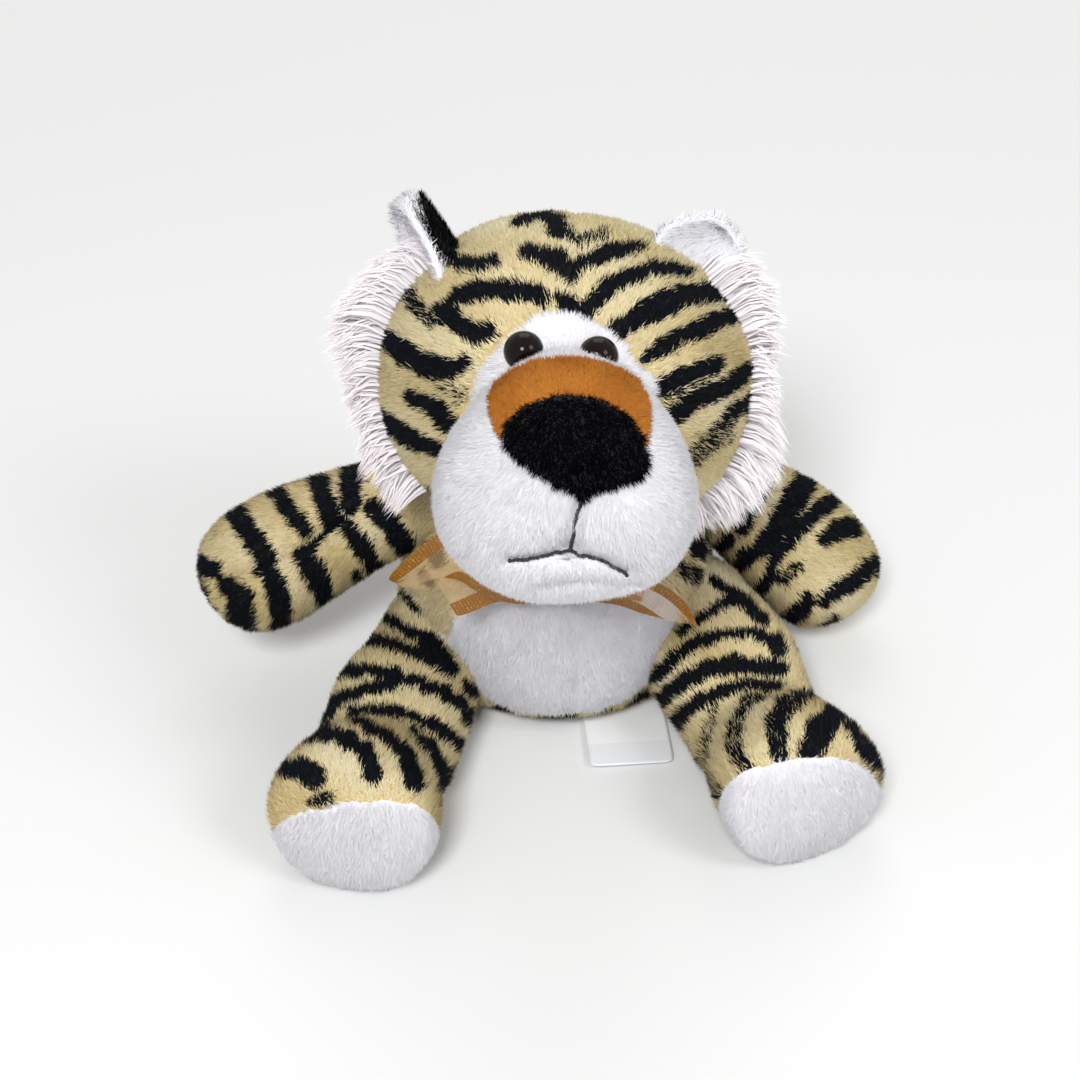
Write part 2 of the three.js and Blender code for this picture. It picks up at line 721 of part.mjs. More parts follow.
// A crescent of long pile down each side of the head
function makeRuffs() {
  for (const side of [1, -1]) {
    const half = HEAD_HEIGHT / 2;
    const rings = ovalRings(half, RUFF_HEIGHT / 2, RUFF_THICKNESS / 2, END_RINGS + 2);
    const aside = side * (HEAD_WIDTH / 2 + RUFF_REACH - half);
    const geometry = loft(rings, LIMB_SIDES).translate(aside, RUFF_RAISE, -RUFF_SETBACK);
    const inner = side > 0 ? 0 : -HEAD_WIDTH;
    const depth = HEAD_DEPTH;
    const flank = new THREE.BoxGeometry(HEAD_WIDTH, 2 * HEAD_HEIGHT, depth);
    flank.translate(inner + HEAD_WIDTH / 2, 0, 0);
    const ruff = solidOf(geometry, head).intersect(solidOf(flank, head)).subtract(headSkin(GAP));
    place(head, `ruff_${sideNames[side]}`, ruff, longPile);
  }
}

// Each ear is two layers that turn together on the head's surface.
function makeEars() {
  for (const side of [1, -1]) {
    const spread = rad(EAR_SPREAD);
    const up = new THREE.Vector3(side * Math.sin(spread), Math.cos(spread), 0);
    const seat = new THREE.Vector3((up.x * HEAD_WIDTH) / 2, (up.y * HEAD_HEIGHT) / 2, EAR_FORWARD);
    const along = Z.clone();
    const across = up.clone().cross(along);
    const ear = bodyAt(seat, frameTurn(across, up, along), head);
    const half = (EAR_HEIGHT + EAR_ROOT) / 2;
    const rings = ovalRings(EAR_WIDTH / 2, half, EAR_THICKNESS / 2, END_RINGS + 2, EAR_FULLNESS);
    const whole = loft(rings, LIMB_SIDES);
    const middle = ear.getWorldPosition(new THREE.Vector3());
    const axis = across.clone().applyQuaternion(head.quaternion);
    const ground = sweep(headSkin(GAP), middle, axis, -EAR_FLOP, EAR_FLOP);
    const shape = solidOf(whole.translate(0, half - EAR_ROOT, 0), ear).subtract(ground);
    const layer = new THREE.BoxGeometry(2 * EAR_WIDTH, 4 * EAR_HEIGHT, EAR_THICKNESS);
    const shift = (EAR_THICKNESS + GAP) / 2;
    const front = solidOf(layer.clone().translate(0, 0, shift), ear);
    const back = solidOf(layer.clone().translate(0, 0, -shift), ear);
    place(ear, `ear_front_${sideNames[side]}`, shape.intersect(front), whitePlush);
    place(ear, `ear_back_${sideNames[side]}`, shape.intersect(back), blackPlush);
  }
}

// What a limb loses so that it clears the torso at every angle
function torsoClearance(limb, radius) {
  const swept = sweep(torsoLining(SWEEP_GAP), limb.middle, limb.axis, limb.range[0], limb.range[1]);
  return swept.subtract(ball(radius, limb.middle));
}

// Bends what lies beyond z = 0 towards -X, by so many degrees over a length
function bent(geometry, degrees, length) {
  const curve = length / rad(degrees);
  const place = geometry.attributes.position;
  for (let i = 0; i < place.count; i++) {
    if (place.getZ(i) <= 0) continue;
    const turn = place.getZ(i) / curve;
    const reach = curve + place.getX(i);
    place.setX(i, reach * Math.cos(turn) - curve);
    place.setZ(i, reach * Math.sin(turn));
  }
  return geometry;
}

// The mouth of a limb's cover, through its round inner end
function coverMouth(body, radius) {
  const geometry = new THREE.CylinderGeometry(radius, radius, 2 * radius, LIMB_SIDES).rotateX(Math.PI / 2);
  return solidOf(geometry.translate(0, 0, -2 * radius), body);
}

function makeArm(arm) {
  const rings = endRings(SHOULDER_RADIUS);
  for (const [along, wide, thick] of armShares) {
    rings.push({ z: along * ARM_LENGTH, a: (wide * ARM_WIDTH) / 2, b: (thick * ARM_THICKNESS) / 2 });
  }
  const skin = skinOf(bent(loft(rings, LIMB_SIDES), arm.bend, ARM_LENGTH), arm.body);
  const lining = skinOf(bent(loft(fewer(rings), LIMB_LINING_SIDES), arm.bend, ARM_LENGTH), arm.body);
  const lost = torsoClearance(arm, SHOULDER_RADIUS);
  const side = sideNames[arm.side];
  const shell = skin(0).subtract(lining(-PLUSH)).subtract(coverMouth(arm.body, SHOULDER_RADIUS / 2));
  place(arm.body, `arm_cover_${side}`, shell.subtract(lost).intersect(aboveFloor), striped);
  place(arm.body, `arm_stuffing_${side}`, lining(-PLUSH - GAP).subtract(lost), wadding);
}

function legRings() {
  const floor = HIP_RADIUS; // below the hip's middle
  const lean = Math.tan(rad(SOLE_LEAN));
  const rings = endRings(HIP_RADIUS);
  const add = (z, wide, tall, tip, rise) => {
    const b = tall / 2;
    rings.push({ z, a: wide / 2, b, y: b + rise - floor, lean: tip * lean });
  };
  for (const [along, wide, tall, tip] of thighShares) {
    add(along * LEG_LENGTH, wide * THIGH_WIDTH, tall * 2 * HIP_RADIUS, tip, 0);
  }
  for (const [along, wide, tall, tip] of footShares) {
    const rise = ((1 - tall) * FOOT_HEIGHT) / 4;
    add(along * LEG_LENGTH, wide * FOOT_WIDTH, tall * FOOT_HEIGHT, tip, rise);
  }
  for (const [along, girth] of soleShares) {
    const rise = ((1 - girth) * FOOT_HEIGHT) / 2;
    add(LEG_LENGTH + along * SOLE_BULGE, girth * FOOT_WIDTH, girth * FOOT_HEIGHT, 1, rise);
  }
  return rings;
}

function makeLeg(leg) {
  const rings = legRings();
  const skin = skinOf(loft(rings, LIMB_SIDES), leg.body);
  const lining = skinOf(loft(fewer(rings), LIMB_LINING_SIDES), leg.body);
  const lost = torsoClearance(leg, HIP_RADIUS);
  const side = sideNames[leg.side];
  const shell = skin(0).intersect(aboveFloor).subtract(lining(-PLUSH));
  const seam = (margin) => {
    const far = 2 * LEG_LENGTH;
    const cutter = new THREE.BoxGeometry(far, far, LEG_LENGTH).translate(0, 0, LEG_LENGTH / 2);
    cutter.rotateX(rad(SOLE_LEAN)).translate(0, 0, LEG_LENGTH - SOLE_DEPTH + margin);
    return solidOf(cutter, leg.body);
  };
  const tube = shell.subtract(seam(-GAP / 2)).subtract(lost);
  place(leg.body, `leg_cover_${side}`, tube.subtract(coverMouth(leg.body, HIP_RADIUS / 2)), striped);
  place(leg.body, `sole_${side}`, shell.intersect(seam(GAP / 2)), whitePlush);
  place(leg.body, `leg_stuffing_${side}`, lining(-PLUSH - GAP).subtract(lost), wadding);
}

function makeTail() {
  const drop = TAIL_ROOT_HEIGHT + BASE_CUT - TAIL_DIAMETER / 2;
  const rings = endRings(TAIL_ROOT_RADIUS);
  for (const [along, girth, aside, down] of tailShares) {
    const half = (girth * TAIL_DIAMETER) / 2;
    rings.push({ z: along * TAIL_LENGTH, a: half, b: half, x: aside * TAIL_CURL, y: down * drop });
  }
  const skin = skinOf(loft(rings, LIMB_SIDES / 2), tail);
  const shell = skin(0).intersect(aboveFloor).subtract(skin(-PLUSH));
  place(tail, 'tail_cover', shell.subtract(coverMouth(tail, TAIL_ROOT_RADIUS / 3)), striped);
  place(tail, 'tail_stuffing', skin(-PLUSH - GAP), wadding);
}

// Ribbon: a collar round the neck, with a bow in front
function makeRibbon() {
  const low = TORSO_HEIGHT + GAP;
  const high = low + COLLAR_HEIGHT;
  const inner = NECK_RADIUS + GAP;
  const outer = inner + RIBBON;
  const profile = [
    new THREE.Vector2(inner, low),
    new THREE.Vector2(outer, low),
    new THREE.Vector2(outer, high),
    new THREE.Vector2(inner, high),
    new THREE.Vector2(inner, low),
  ];
  const ring = new THREE.LatheGeometry(profile, SIDES).rotateX(Math.PI / 2);
  place(torso, 'ribbon_collar', solidOf(ring.translate(0, neckMiddle.y, 0)), ribbonCloth);

  const knotFront = neckMiddle.y - outer - GAP - KNOT_DEPTH;
  const knotMiddle = new THREE.Vector3(0, knotFront + KNOT_DEPTH / 2, high - KNOT_HEIGHT / 2);
  const rings = ovalRings(KNOT_WIDTH / 2, KNOT_DEPTH / 2, KNOT_HEIGHT / 2, END_RINGS + 2, KNOT_FULLNESS);
  const knot = loft(rings, LIMB_SIDES / 2).translate(knotMiddle.x, knotMiddle.y, knotMiddle.z);
  const chest = torsoSkin(GAP);
  place(torso, 'bow_knot', solidOf(knot).subtract(chest), ribbonCloth);

  const plate = (shares, length, width) => {
    const corners = shares.map(([along, up]) => new THREE.Vector2(along * length, up * width));
    const shape = new THREE.Shape(corners);
    const geometry = new THREE.ExtrudeGeometry(shape, { depth: RIBBON, bevelEnabled: false });
    return geometry.translate(KNOT_WIDTH / 2 + GAP, 0, -RIBBON / 2).rotateX(Math.PI / 2);
  };
  const mirrored = (solid, side) => (side > 0 ? solid : solid.mirror([1, 0, 0]));
  for (const side of [1, -1]) {
    const length = side > 0 ? LEFT_LOOP_LENGTH : RIGHT_LOOP_LENGTH;
    const width = side > 0 ? LEFT_LOOP_WIDTH : RIGHT_LOOP_WIDTH;
    const loop = plate(loopShares, length, width).translate(0, knotMiddle.y, knotMiddle.z);
    place(torso, `bow_loop_${sideNames[side]}`, mirrored(solidOf(loop), side).subtract(chest), ribbonCloth);
    const reach = side > 0 ? LEFT_RIBBON_TAIL : RIGHT_RIBBON_TAIL;
    const strip = plate(ribbonTailShares, reach, RIBBON_WIDTH);
    strip.rotateY(rad(RIBBON_FALL)).rotateX(rad(-RIBBON_LEAN));
    strip.translate(0, knotFront - RIBBON, knotMiddle.z - KNOT_HEIGHT / 2);
    const end = mirrored(solidOf(strip), side).subtract(chest);
    place(torso, `ribbon_tail_${sideNames[side]}`, end, ribbonCloth);
  }
}

// Care label, sewn in at the front of the seat
function makeLabel() {
  const geometry = new THREE.BoxGeometry(LABEL_WIDTH, LABEL_LENGTH, LABEL_THICKNESS);
  geometry.translate(LABEL_ASIDE, LABEL_LENGTH / 2 - LABEL_FRONT, GAP + LABEL_THICKNESS / 2);
  const tape = solidOf(geometry).subtract(torsoSkin(GAP));
  place(torso, 'care_label', tape.subtract(ball(HIP_RADIUS + GAP, legs[0].middle)), labelTape);
}

makeTorso();
makeNeck();
makeHead();
makeRuffs();
makeEars();
for (const arm of arms) makeArm(arm);
for (const leg of legs) makeLeg(leg);
makeTail();
makeRibbon();
makeLabel();

export default tiger;
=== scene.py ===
# A plush tiger's looks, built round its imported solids: sewn skins and their pile, eyes, a ribbon and a label.
# Shapes are worked out in millimetres in the solids' own frame and become metres when a piece is made.
# The tiger faces -Y, so its left hand is at +X, on the photograph's right.

import math

import bmesh
import bpy
import numpy as np
from mathutils import Matrix, Vector


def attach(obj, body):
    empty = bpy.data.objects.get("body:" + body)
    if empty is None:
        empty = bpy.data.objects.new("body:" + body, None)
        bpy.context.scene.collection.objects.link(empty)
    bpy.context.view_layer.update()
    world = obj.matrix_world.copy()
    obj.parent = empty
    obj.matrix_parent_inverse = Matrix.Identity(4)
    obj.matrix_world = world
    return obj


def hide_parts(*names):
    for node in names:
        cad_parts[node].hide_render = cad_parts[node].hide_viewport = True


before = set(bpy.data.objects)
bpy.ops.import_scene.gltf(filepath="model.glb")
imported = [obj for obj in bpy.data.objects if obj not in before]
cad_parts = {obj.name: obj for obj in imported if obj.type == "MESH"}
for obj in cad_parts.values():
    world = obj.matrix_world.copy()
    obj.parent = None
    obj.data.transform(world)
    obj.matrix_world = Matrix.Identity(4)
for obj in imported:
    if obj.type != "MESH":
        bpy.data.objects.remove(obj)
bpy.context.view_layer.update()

MM = 0.001

# ---------------------------------------------------------------- camera

PHOTO_SIZE = 1080
CAMERA_SIDE = 5.5  # degrees from straight in front, towards the tiger's right
CAMERA_HEIGHT = 42  # degrees above the floor
CAMERA_DISTANCE = 500
CAMERA_FOCUS = 1970  # pixels
CAMERA_AIM = Vector((-4.4, 0, 34.5))

side_turn, height_turn = math.radians(CAMERA_SIDE), math.radians(CAMERA_HEIGHT)
to_camera = Vector(
    (
        -math.sin(side_turn) * math.cos(height_turn),
        -math.cos(side_turn) * math.cos(height_turn),
        math.sin(height_turn),
    )
)
camera_place = CAMERA_AIM + CAMERA_DISTANCE * to_camera
camera_right = Vector((math.cos(side_turn), -math.sin(side_turn), 0))
camera_up = to_camera.cross(camera_right)


def make_camera():
    data = bpy.data.cameras.new("camera")
    data.sensor_width = 36
    data.lens = data.sensor_width * CAMERA_FOCUS / PHOTO_SIZE
    camera = show("camera", data)
    camera.location = camera_place * MM
    camera.rotation_euler = to_camera.to_track_quat("Z", "Y").to_euler()
    bpy.context.scene.camera = camera


def in_photo(places):
    """Where places in millimetres fall in the photograph, in pixels."""
    away = places - np.array(camera_place)
    depth = -away @ np.array(to_camera)
    across = away @ np.array(camera_right) / depth
    up = away @ np.array(camera_up) / depth
    middle = PHOTO_SIZE / 2
    return np.stack([middle + CAMERA_FOCUS * across, middle - CAMERA_FOCUS * up], axis=1)


def seen_at(x, y, back):
    """The place on the line of sight through a pixel that lies on the upright plane Y = back."""
    middle = PHOTO_SIZE / 2
    ray = ((x - middle) * camera_right + (middle - y) * camera_up) / CAMERA_FOCUS - to_camera
    return camera_place + ray * ((back - camera_place.y) / ray.y)


# ---------------------------------------------------------------- sizes, as in the solids

TORSO_WIDTH, TORSO_DEPTH, TORSO_HEIGHT = 82, 75, 51
BASE_CUT = 0.5
BELLY_WIDTH, BELLY_HEIGHT, BELLY_EDGE = 58, 43, 4.5
NECK_RADIUS = 15
NECK_MIDDLE = Vector((0, -4, 55))
HEAD_WIDTH, HEAD_HEIGHT, HEAD_DEPTH = 86, 76, 79
HEAD_MIDDLE = NECK_MIDDLE + Vector((0, -8, 1.6 + HEAD_HEIGHT / 2))
HEAD_TILT, HEAD_TURN, HEAD_ROLL = 26, -4.5, -4
HEAD_BOTTOM = 57.5
SNOUT_WIDTH, SNOUT_HEIGHT, SNOUT_LENGTH = 55.5, 53, 25
SNOUT_TAPER, SNOUT_DROP = 0.2, 12
EYE_DIAMETER, EYE_DOME, EYE_SPACING, EYE_RAISE = 8.6, 4.2, 15.6, 12.5
FACE_ASIDE = 2.5
EAR_SPREAD, EAR_FORWARD = 40, 2
ARM_LENGTH, ARM_WIDTH, ARM_THICKNESS = 63, 34, 27
SHOULDER_RADIUS, SHOULDER_SPACING, SHOULDER_HEIGHT, SHOULDER_SETBACK = 13, 62, 46, 8
ARM_FACING = 45
LEG_LENGTH, HIP_RADIUS, HIP_SPACING, HIP_FORWARD = 66, 17, 68, 14
THIGH_WIDTH, FOOT_WIDTH, FOOT_HEIGHT = 40, 42, 35
SOLE_BULGE, SOLE_LEAN = 3.5, 12
TAIL_LENGTH, TAIL_DIAMETER, TAIL_CURL, TAIL_ROOT_RADIUS = 62, 11, 16, 6.8
TAIL_ROOT = Vector((0, 35, 8))
BACKING_DEPTH = 1.1  # from the solids' surface, where the pile ends, in to the cloth's backing
SKIN_LOWEST = 0.35  # above the floor

# The rings of each form: a share of its height or length, then shares of its width and thickness
torso_shares = [
    (0, 0), (0, 0.6), (0.035, 0.81), (0.12, 0.94), (0.25, 1), (0.4, 1), (0.56, 0.97),
    (0.7, 0.92), (0.82, 0.84), (0.91, 0.72), (0.97, 0.54), (1, 0.3), (1, 0),
]
snout_shares = [
    (0.1, 0, 0), (0.15, 0.62, 0.7), (0.45, 0.86, 0.95), (0.64, 0.98, 1), (0.76, 1, 0.99),
    (0.86, 0.93, 0.92), (0.93, 0.76, 0.76), (0.98, 0.46, 0.46), (1, 0, 0),
]
arm_shares = [
    (0.14, 0.76, 0.96), (0.3, 0.82, 0.98), (0.46, 0.92, 1), (0.62, 0.99, 1), (0.76, 1, 0.97),
    (0.87, 0.9, 0.86), (0.95, 0.64, 0.62), (0.99, 0.3, 0.3), (1, 0, 0),
]
# The legs' rings end with how far they lean with the sole
thigh_shares = [(0.14, 1, 0.97, 0), (0.3, 0.98, 0.92, 0), (0.46, 0.91, 0.81, 0), (0.56, 0.9, 0.78, 0.15)]
foot_shares = [
    (0.68, 0.85, 0.84, 0.45), (0.8, 0.96, 0.95, 0.8), (0.9, 1, 1, 1), (0.96, 0.98, 0.98, 1), (1, 0.9, 0.9, 1),
]
sole_shares = [(0.55, 0.7), (0.9, 0.38), (1, 0)]
# The tail's rings: length, girth, and how far aside and down it has curled
tail_shares = [
    (0.14, 1, 0.01, 0.3), (0.3, 0.97, 0.07, 0.8), (0.46, 0.95, 0.18, 1), (0.62, 0.95, 0.36, 1),
    (0.78, 0.97, 0.6, 1), (0.9, 0.93, 0.82, 1), (0.97, 0.62, 0.95, 1), (1, 0, 1, 1),
]

# ---------------------------------------------------------------- stripes, as pixels of the photograph

# Each stripe is how dark it is and the points along its middle: across, down and width.
head_stripes = [
    (1, [(441, 258, 9), (456, 264, 10), (475, 269, 10), (495, 264, 9)]),
    (1, [(517, 226, 7), (540, 219, 8), (560, 226, 10)]),
    (1, [(552, 230, 9), (561, 236, 10)]),
    (1, [(529, 254, 12), (544, 260, 16), (562, 268, 17)]),
    (1, [(449, 306, 8), (464, 297, 14), (489, 293, 17), (518, 295, 16), (542, 297, 14)]),
    (1, [(443, 313, 12), (460, 324, 17), (477, 337, 19), (491, 334, 14)]),
    (0.9, [(406, 292, 15), (416, 302, 11), (425, 316, 10), (437, 325, 8)]),
    (1, [(385, 339, 17), (403, 350, 20), (422, 362, 20), (440, 370, 19), (456, 370, 16), (468, 362, 9)]),
    (1, [(414, 396, 9), (429, 402, 13), (445, 413, 16), (453, 425, 13)]),
    (0.5, [(447, 386, 8), (463, 396, 9)]),
    (1, [(379, 414, 14), (399, 427, 15), (416, 439, 14), (440, 448, 11)]),
    (1, [(375, 366, 6), (376, 372, 6)]),
    (0.9, [(398, 476, 8), (414, 484, 8), (432, 490, 6)]),
    (1, [(402, 497, 14), (418, 504, 15), (436, 516, 15)]),
    (0.9, [(561, 232, 12), (570, 240, 9)]),
    (0.8, [(579, 246, 8), (594, 241, 9), (606, 237, 6)]),
    (1, [(578, 269, 11), (594, 262, 14), (610, 255, 13), (627, 251, 10), (642, 249, 6)]),
    (1, [(561, 263, 12), (570, 278, 13)]),
    (1, [(586, 311, 11), (606, 292, 14), (627, 280, 14), (652, 271, 12), (667, 272, 10), (688, 275, 6)]),
    (1, [(606, 338, 12), (633, 322, 20), (656, 308, 21), (679, 299, 20), (698, 296, 18), (720, 295, 15)]),
    (1, [(648, 357, 11), (667, 345, 14), (690, 333, 15), (711, 324, 15), (730, 317, 13)]),
    (1, [(658, 390, 14), (679, 379, 15), (698, 371, 14), (714, 363, 10)]),
    (0.55, [(668, 400, 9), (690, 390, 12), (714, 377, 14)]),
    (1, [(666, 420, 15), (682, 406, 17), (705, 394, 15), (725, 387, 13), (743, 371, 13)]),
    (0.75, [(688, 462, 12), (694, 452, 16), (713, 434, 17), (723, 421, 14)]),
    (1, [(718, 424, 8), (729, 412, 12), (749, 400, 13)]),
    (0.6, [(700, 448, 12), (722, 434, 14)]),
    (1, [(560, 303, 10), (571, 310, 13), (584, 322, 10)]),
    (0.8, [(541, 306, 6), (552, 303, 6)]),
]
right_arm_stripes = [
    (1, [(200, 560, 14), (215, 568, 18)]),
    (0.85, [(196, 578, 14), (201, 594, 20), (210, 616, 20)]),
    (1, [(229, 582, 14), (242, 597, 22), (245, 630, 26)]),
    (1, [(236, 508, 16), (253, 533, 18), (268, 558, 17)]),
    (1, [(273, 574, 15), (281, 596, 18), (284, 628, 18)]),
    (1, [(272, 484, 14), (289, 506, 15), (306, 527, 13)]),
    (1, [(305, 553, 16), (318, 574, 19), (328, 600, 17)]),
    (1, [(312, 467, 15), (324, 489, 18), (332, 517, 17)]),
    (1, [(350, 527, 12), (365, 547, 16), (378, 568, 16)]),
    (1, [(359, 574, 7), (362, 578, 7)]),
    (1, [(353, 448, 18), (355, 474, 20), (352, 505, 16)]),
    (1, [(375, 507, 15), (391, 521, 18), (406, 542, 18)]),
    (0.95, [(384, 457, 13), (391, 480, 14), (402, 494, 13)]),
    (1, [(300, 556, 4), (330, 530, 5), (350, 515, 4)]),
    (1, [(258, 571, 5), (270, 566, 4)]),
]
left_arm_stripes = [
    (1, [(753, 449, 11), (742, 471, 11), (724, 501, 12), (719, 513, 10)]),
    (1, [(776, 452, 16), (764, 474, 15), (749, 499, 15), (741, 525, 14)]),
    (1, [(727, 538, 11), (720, 544, 10)]),
    (1, [(808, 473, 20), (793, 496, 21), (778, 519, 20), (761, 545, 16)]),
    (1, [(748, 552, 13), (738, 562, 12)]),
    (1, [(830, 500, 12), (811, 512, 13), (793, 529, 13), (780, 549, 12), (771, 562, 10)]),
    (1, [(770, 574, 10), (760, 588, 10)]),
    (1, [(851, 526, 15), (834, 529, 16), (822, 538, 12)]),
    (0.9, [(795, 566, 7), (786, 575, 9), (780, 579, 7)]),
    (1, [(870, 564, 16), (854, 577, 14), (838, 588, 12), (819, 601, 6)]),
    (1, [(806, 599, 13), (796, 611, 16), (784, 620, 14)]),
    (1, [(832, 621, 12), (822, 632, 16)]),
    (0.5, [(700, 530, 14), (706, 545, 10)]),
]
right_leg_stripes = [
    (1, [(384, 620, 8), (400, 630, 7), (417, 639, 7), (430, 652, 8)]),
    (1, [(363, 644, 8), (384, 644, 8), (403, 652, 8), (423, 659, 9), (444, 671, 11)]),
    (1, [(345, 675, 10), (369, 673, 9), (392, 678, 10), (417, 686, 9), (442, 695, 12), (461, 709, 11),
         (474, 732, 9)]),
    (1, [(329, 708, 10), (350, 699, 11), (369, 692, 10), (392, 687, 10)]),
    (1, [(350, 715, 5), (373, 712, 8), (398, 715, 9), (422, 724, 9), (446, 736, 11), (465, 754, 9)]),
    (1, [(350, 722, 5), (369, 730, 9), (388, 742, 12), (403, 757, 14), (415, 786, 15)]),
    (1, [(413, 736, 7), (432, 753, 10), (442, 776, 11), (446, 807, 9)]),
    (1, [(302, 738, 14), (323, 736, 13), (346, 742, 13), (365, 755, 15), (373, 780, 13)]),
    (1, [(267, 773, 7), (287, 770, 11), (304, 772, 19), (317, 780, 17)]),
    (0.8, [(313, 802, 7), (329, 798, 7)]),
    (0.9, [(451, 770, 5), (456, 801, 10), (452, 826, 12), (443, 842, 12)]),
    (1, [(472, 738, 9), (468, 752, 8)]),
    (1, [(325, 722, 8), (333, 715, 7)]),
    (1, [(404, 594, 8), (418, 610, 10)]),
    (1, [(426, 640, 12), (438, 655, 13), (450, 673, 12)]),
    (1, [(465, 688, 9), (471, 695, 9)]),
    (1, [(486, 712, 8), (498, 708, 9)]),
]
left_leg_stripes = [
    (1, [(684, 632, 9), (699, 623, 8), (719, 609, 7), (735, 602, 8), (751, 610, 9), (764, 624, 9)]),
    (1, [(656, 680, 10), (679, 658, 10), (699, 645, 10), (723, 637, 8), (751, 635, 7), (769, 643, 10),
         (780, 655, 10)]),
    (1, [(714, 585, 10), (735, 596, 6), (748, 604, 7)]),
    (1, [(662, 704, 12), (680, 687, 14), (703, 673, 13), (729, 667, 14), (759, 669, 14), (780, 672, 13)]),
    (1, [(674, 732, 13), (686, 716, 13), (705, 702, 11), (729, 692, 9), (751, 686, 7), (780, 690, 6)]),
    (0.85, [(768, 694, 8), (749, 704, 10), (738, 724, 11), (733, 748, 12), (746, 768, 12)]),
    (0.95, [(808, 699, 10), (790, 706, 16), (778, 724, 19), (779, 752, 17)]),
    (1, [(836, 716, 19), (822, 731, 24), (812, 750, 22)]),
    (1, [(850, 728, 9), (863, 750, 13), (877, 764, 14), (893, 783, 12), (891, 802, 9)]),
    (0.6, [(717, 706, 5), (709, 734, 6), (706, 758, 6)]),
    (0.8, [(684, 748, 7), (691, 773, 11), (704, 793, 12), (720, 796, 9)]),
    (0.5, [(697, 765, 14), (710, 785, 14)]),
    (1, [(778, 640, 5), (783, 656, 5)]),
]
torso_stripes = [
    (1, [(404, 594, 8), (418, 610, 10)]),
    (1, [(425, 573, 8), (432, 580, 8)]),
    (1, [(426, 640, 12), (438, 655, 13), (450, 673, 12)]),
    (1, [(465, 688, 9), (471, 695, 9)]),
    (1, [(485, 713, 11), (506, 707, 11)]),
    (1, [(541, 719, 9), (572, 716, 10)]),
    (1, [(599, 716, 9), (625, 711, 10), (645, 694, 10)]),
    (1, [(686, 526, 13), (697, 550, 15)]),
    (0.9, [(680, 565, 12), (693, 574, 13)]),
    (1, [(701, 609, 7), (706, 605, 6)]),
    (1, [(712, 530, 10), (715, 545, 9)]),
    (1, [(716, 586, 12), (722, 592, 11)]),
    (1, [(641, 690, 8), (646, 700, 9)]),
    (1, [(430, 545, 9), (440, 560, 9)]),
]

# Outlines of the face's patches and its sewn lines, across and down
nose_outline = [
    (503, 441), (508, 426), (519, 414), (534, 404), (553, 398), (573, 397), (593, 400), (612, 408),
    (628, 420), (640, 436), (646, 455), (646, 470), (641, 479), (626, 486), (608, 488), (595, 492),
    (582, 500), (572, 492), (556, 486), (539, 477), (523, 464), (510, 451),
]
bridge_outline = [
    (493, 414), (491, 400), (498, 387), (513, 375), (534, 366), (558, 362), (582, 363), (604, 368),
    (622, 375), (636, 386), (644, 399), (647, 412), (647, 430), (646, 452), (628, 430), (573, 410),
    (519, 424), (503, 441), (496, 430),
]
brow_outline = [
    (553, 310), (534, 316), (514, 327), (496, 342), (484, 358), (475, 376), (467, 396), (459, 420),
    (452, 450), (470, 520), (640, 520), (690, 470), (676, 440), (664, 412), (660, 390), (654, 374),
    (643, 362), (632, 350), (622, 338), (606, 325), (586, 315), (568, 310),
]
belly_outline = [
    (428, 590), (430, 615), (436, 638), (449, 662), (468, 682), (490, 698), (517, 709), (547, 713),
    (575, 712), (602, 708), (628, 696), (650, 679), (669, 658), (682, 634), (689, 608), (684, 570),
    (640, 540), (480, 540),
]
mouth_lines = {
    "parting": [(583, 499), (578, 512), (575, 525), (572, 538), (570, 549)],
    "corner_right": [(570, 549), (556, 553), (541, 557), (525, 560), (508, 561)],
    "corner_left": [(570, 549), (584, 556), (600, 560), (612, 566), (628, 575)],
}
arm_seam = [(222, 577), (256, 571), (290, 555), (334, 525), (371, 502), (398, 501)]
chin_fold = [(535, 588), (565, 583), (600, 582), (635, 586)]
belly_tuck = [(571, 680), (570, 696), (568, 712)]

# ---------------------------------------------------------------- places and turns

degrees = math.radians


def turn(angle, axis):
    return Matrix.Rotation(degrees(angle), 4, axis)


def frame_at(middle, across, up, along):
    """A body's own frame: across, up and along in its columns."""
    return Matrix.Translation(middle) @ Matrix((across, up, along)).transposed().to_4x4()


head_frame = Matrix.Translation(HEAD_MIDDLE) @ turn(HEAD_TURN, "Z") @ turn(90 - HEAD_TILT, "X")
head_frame = head_frame @ turn(HEAD_ROLL, "Z")
tail_frame = Matrix.Translation(TAIL_ROOT) @ turn(-90, "X")


def arm_frame(side, drop, forward):
    middle = Vector((side * SHOULDER_SPACING / 2, SHOULDER_SETBACK, SHOULDER_HEIGHT))
    forward, drop = degrees(forward), degrees(drop)
    level = math.cos(drop)
    along = Vector((side * level * math.cos(forward), -level * math.sin(forward), -math.sin(drop)))
    facing = Vector((0, -math.cos(degrees(ARM_FACING)), math.sin(degrees(ARM_FACING))))
    across = facing.cross(along).normalized()
    return frame_at(middle, across, along.cross(across), along)


def leg_frame(side, splay):
    middle = Vector((side * HIP_SPACING / 2, -HIP_FORWARD, HIP_RADIUS - BASE_CUT))
    along = Vector((side * math.sin(degrees(splay)), -math.cos(degrees(splay)), 0))
    return frame_at(middle, Vector((0, 0, 1)).cross(along), Vector((0, 0, 1)), along)


SIDES = {"left": 1, "right": -1}
arm_frames = {"left": arm_frame(1, 23, 0), "right": arm_frame(-1, 14, 6)}
arm_bends = {"left": 45, "right": -15}
leg_frames = {"left": leg_frame(1, 15.5), "right": leg_frame(-1, 20)}
hip_girths = {"left": 0.97, "right": 0.82}  # in the photograph the right thigh is pressed flat at the hip

# ---------------------------------------------------------------- numbers over a surface

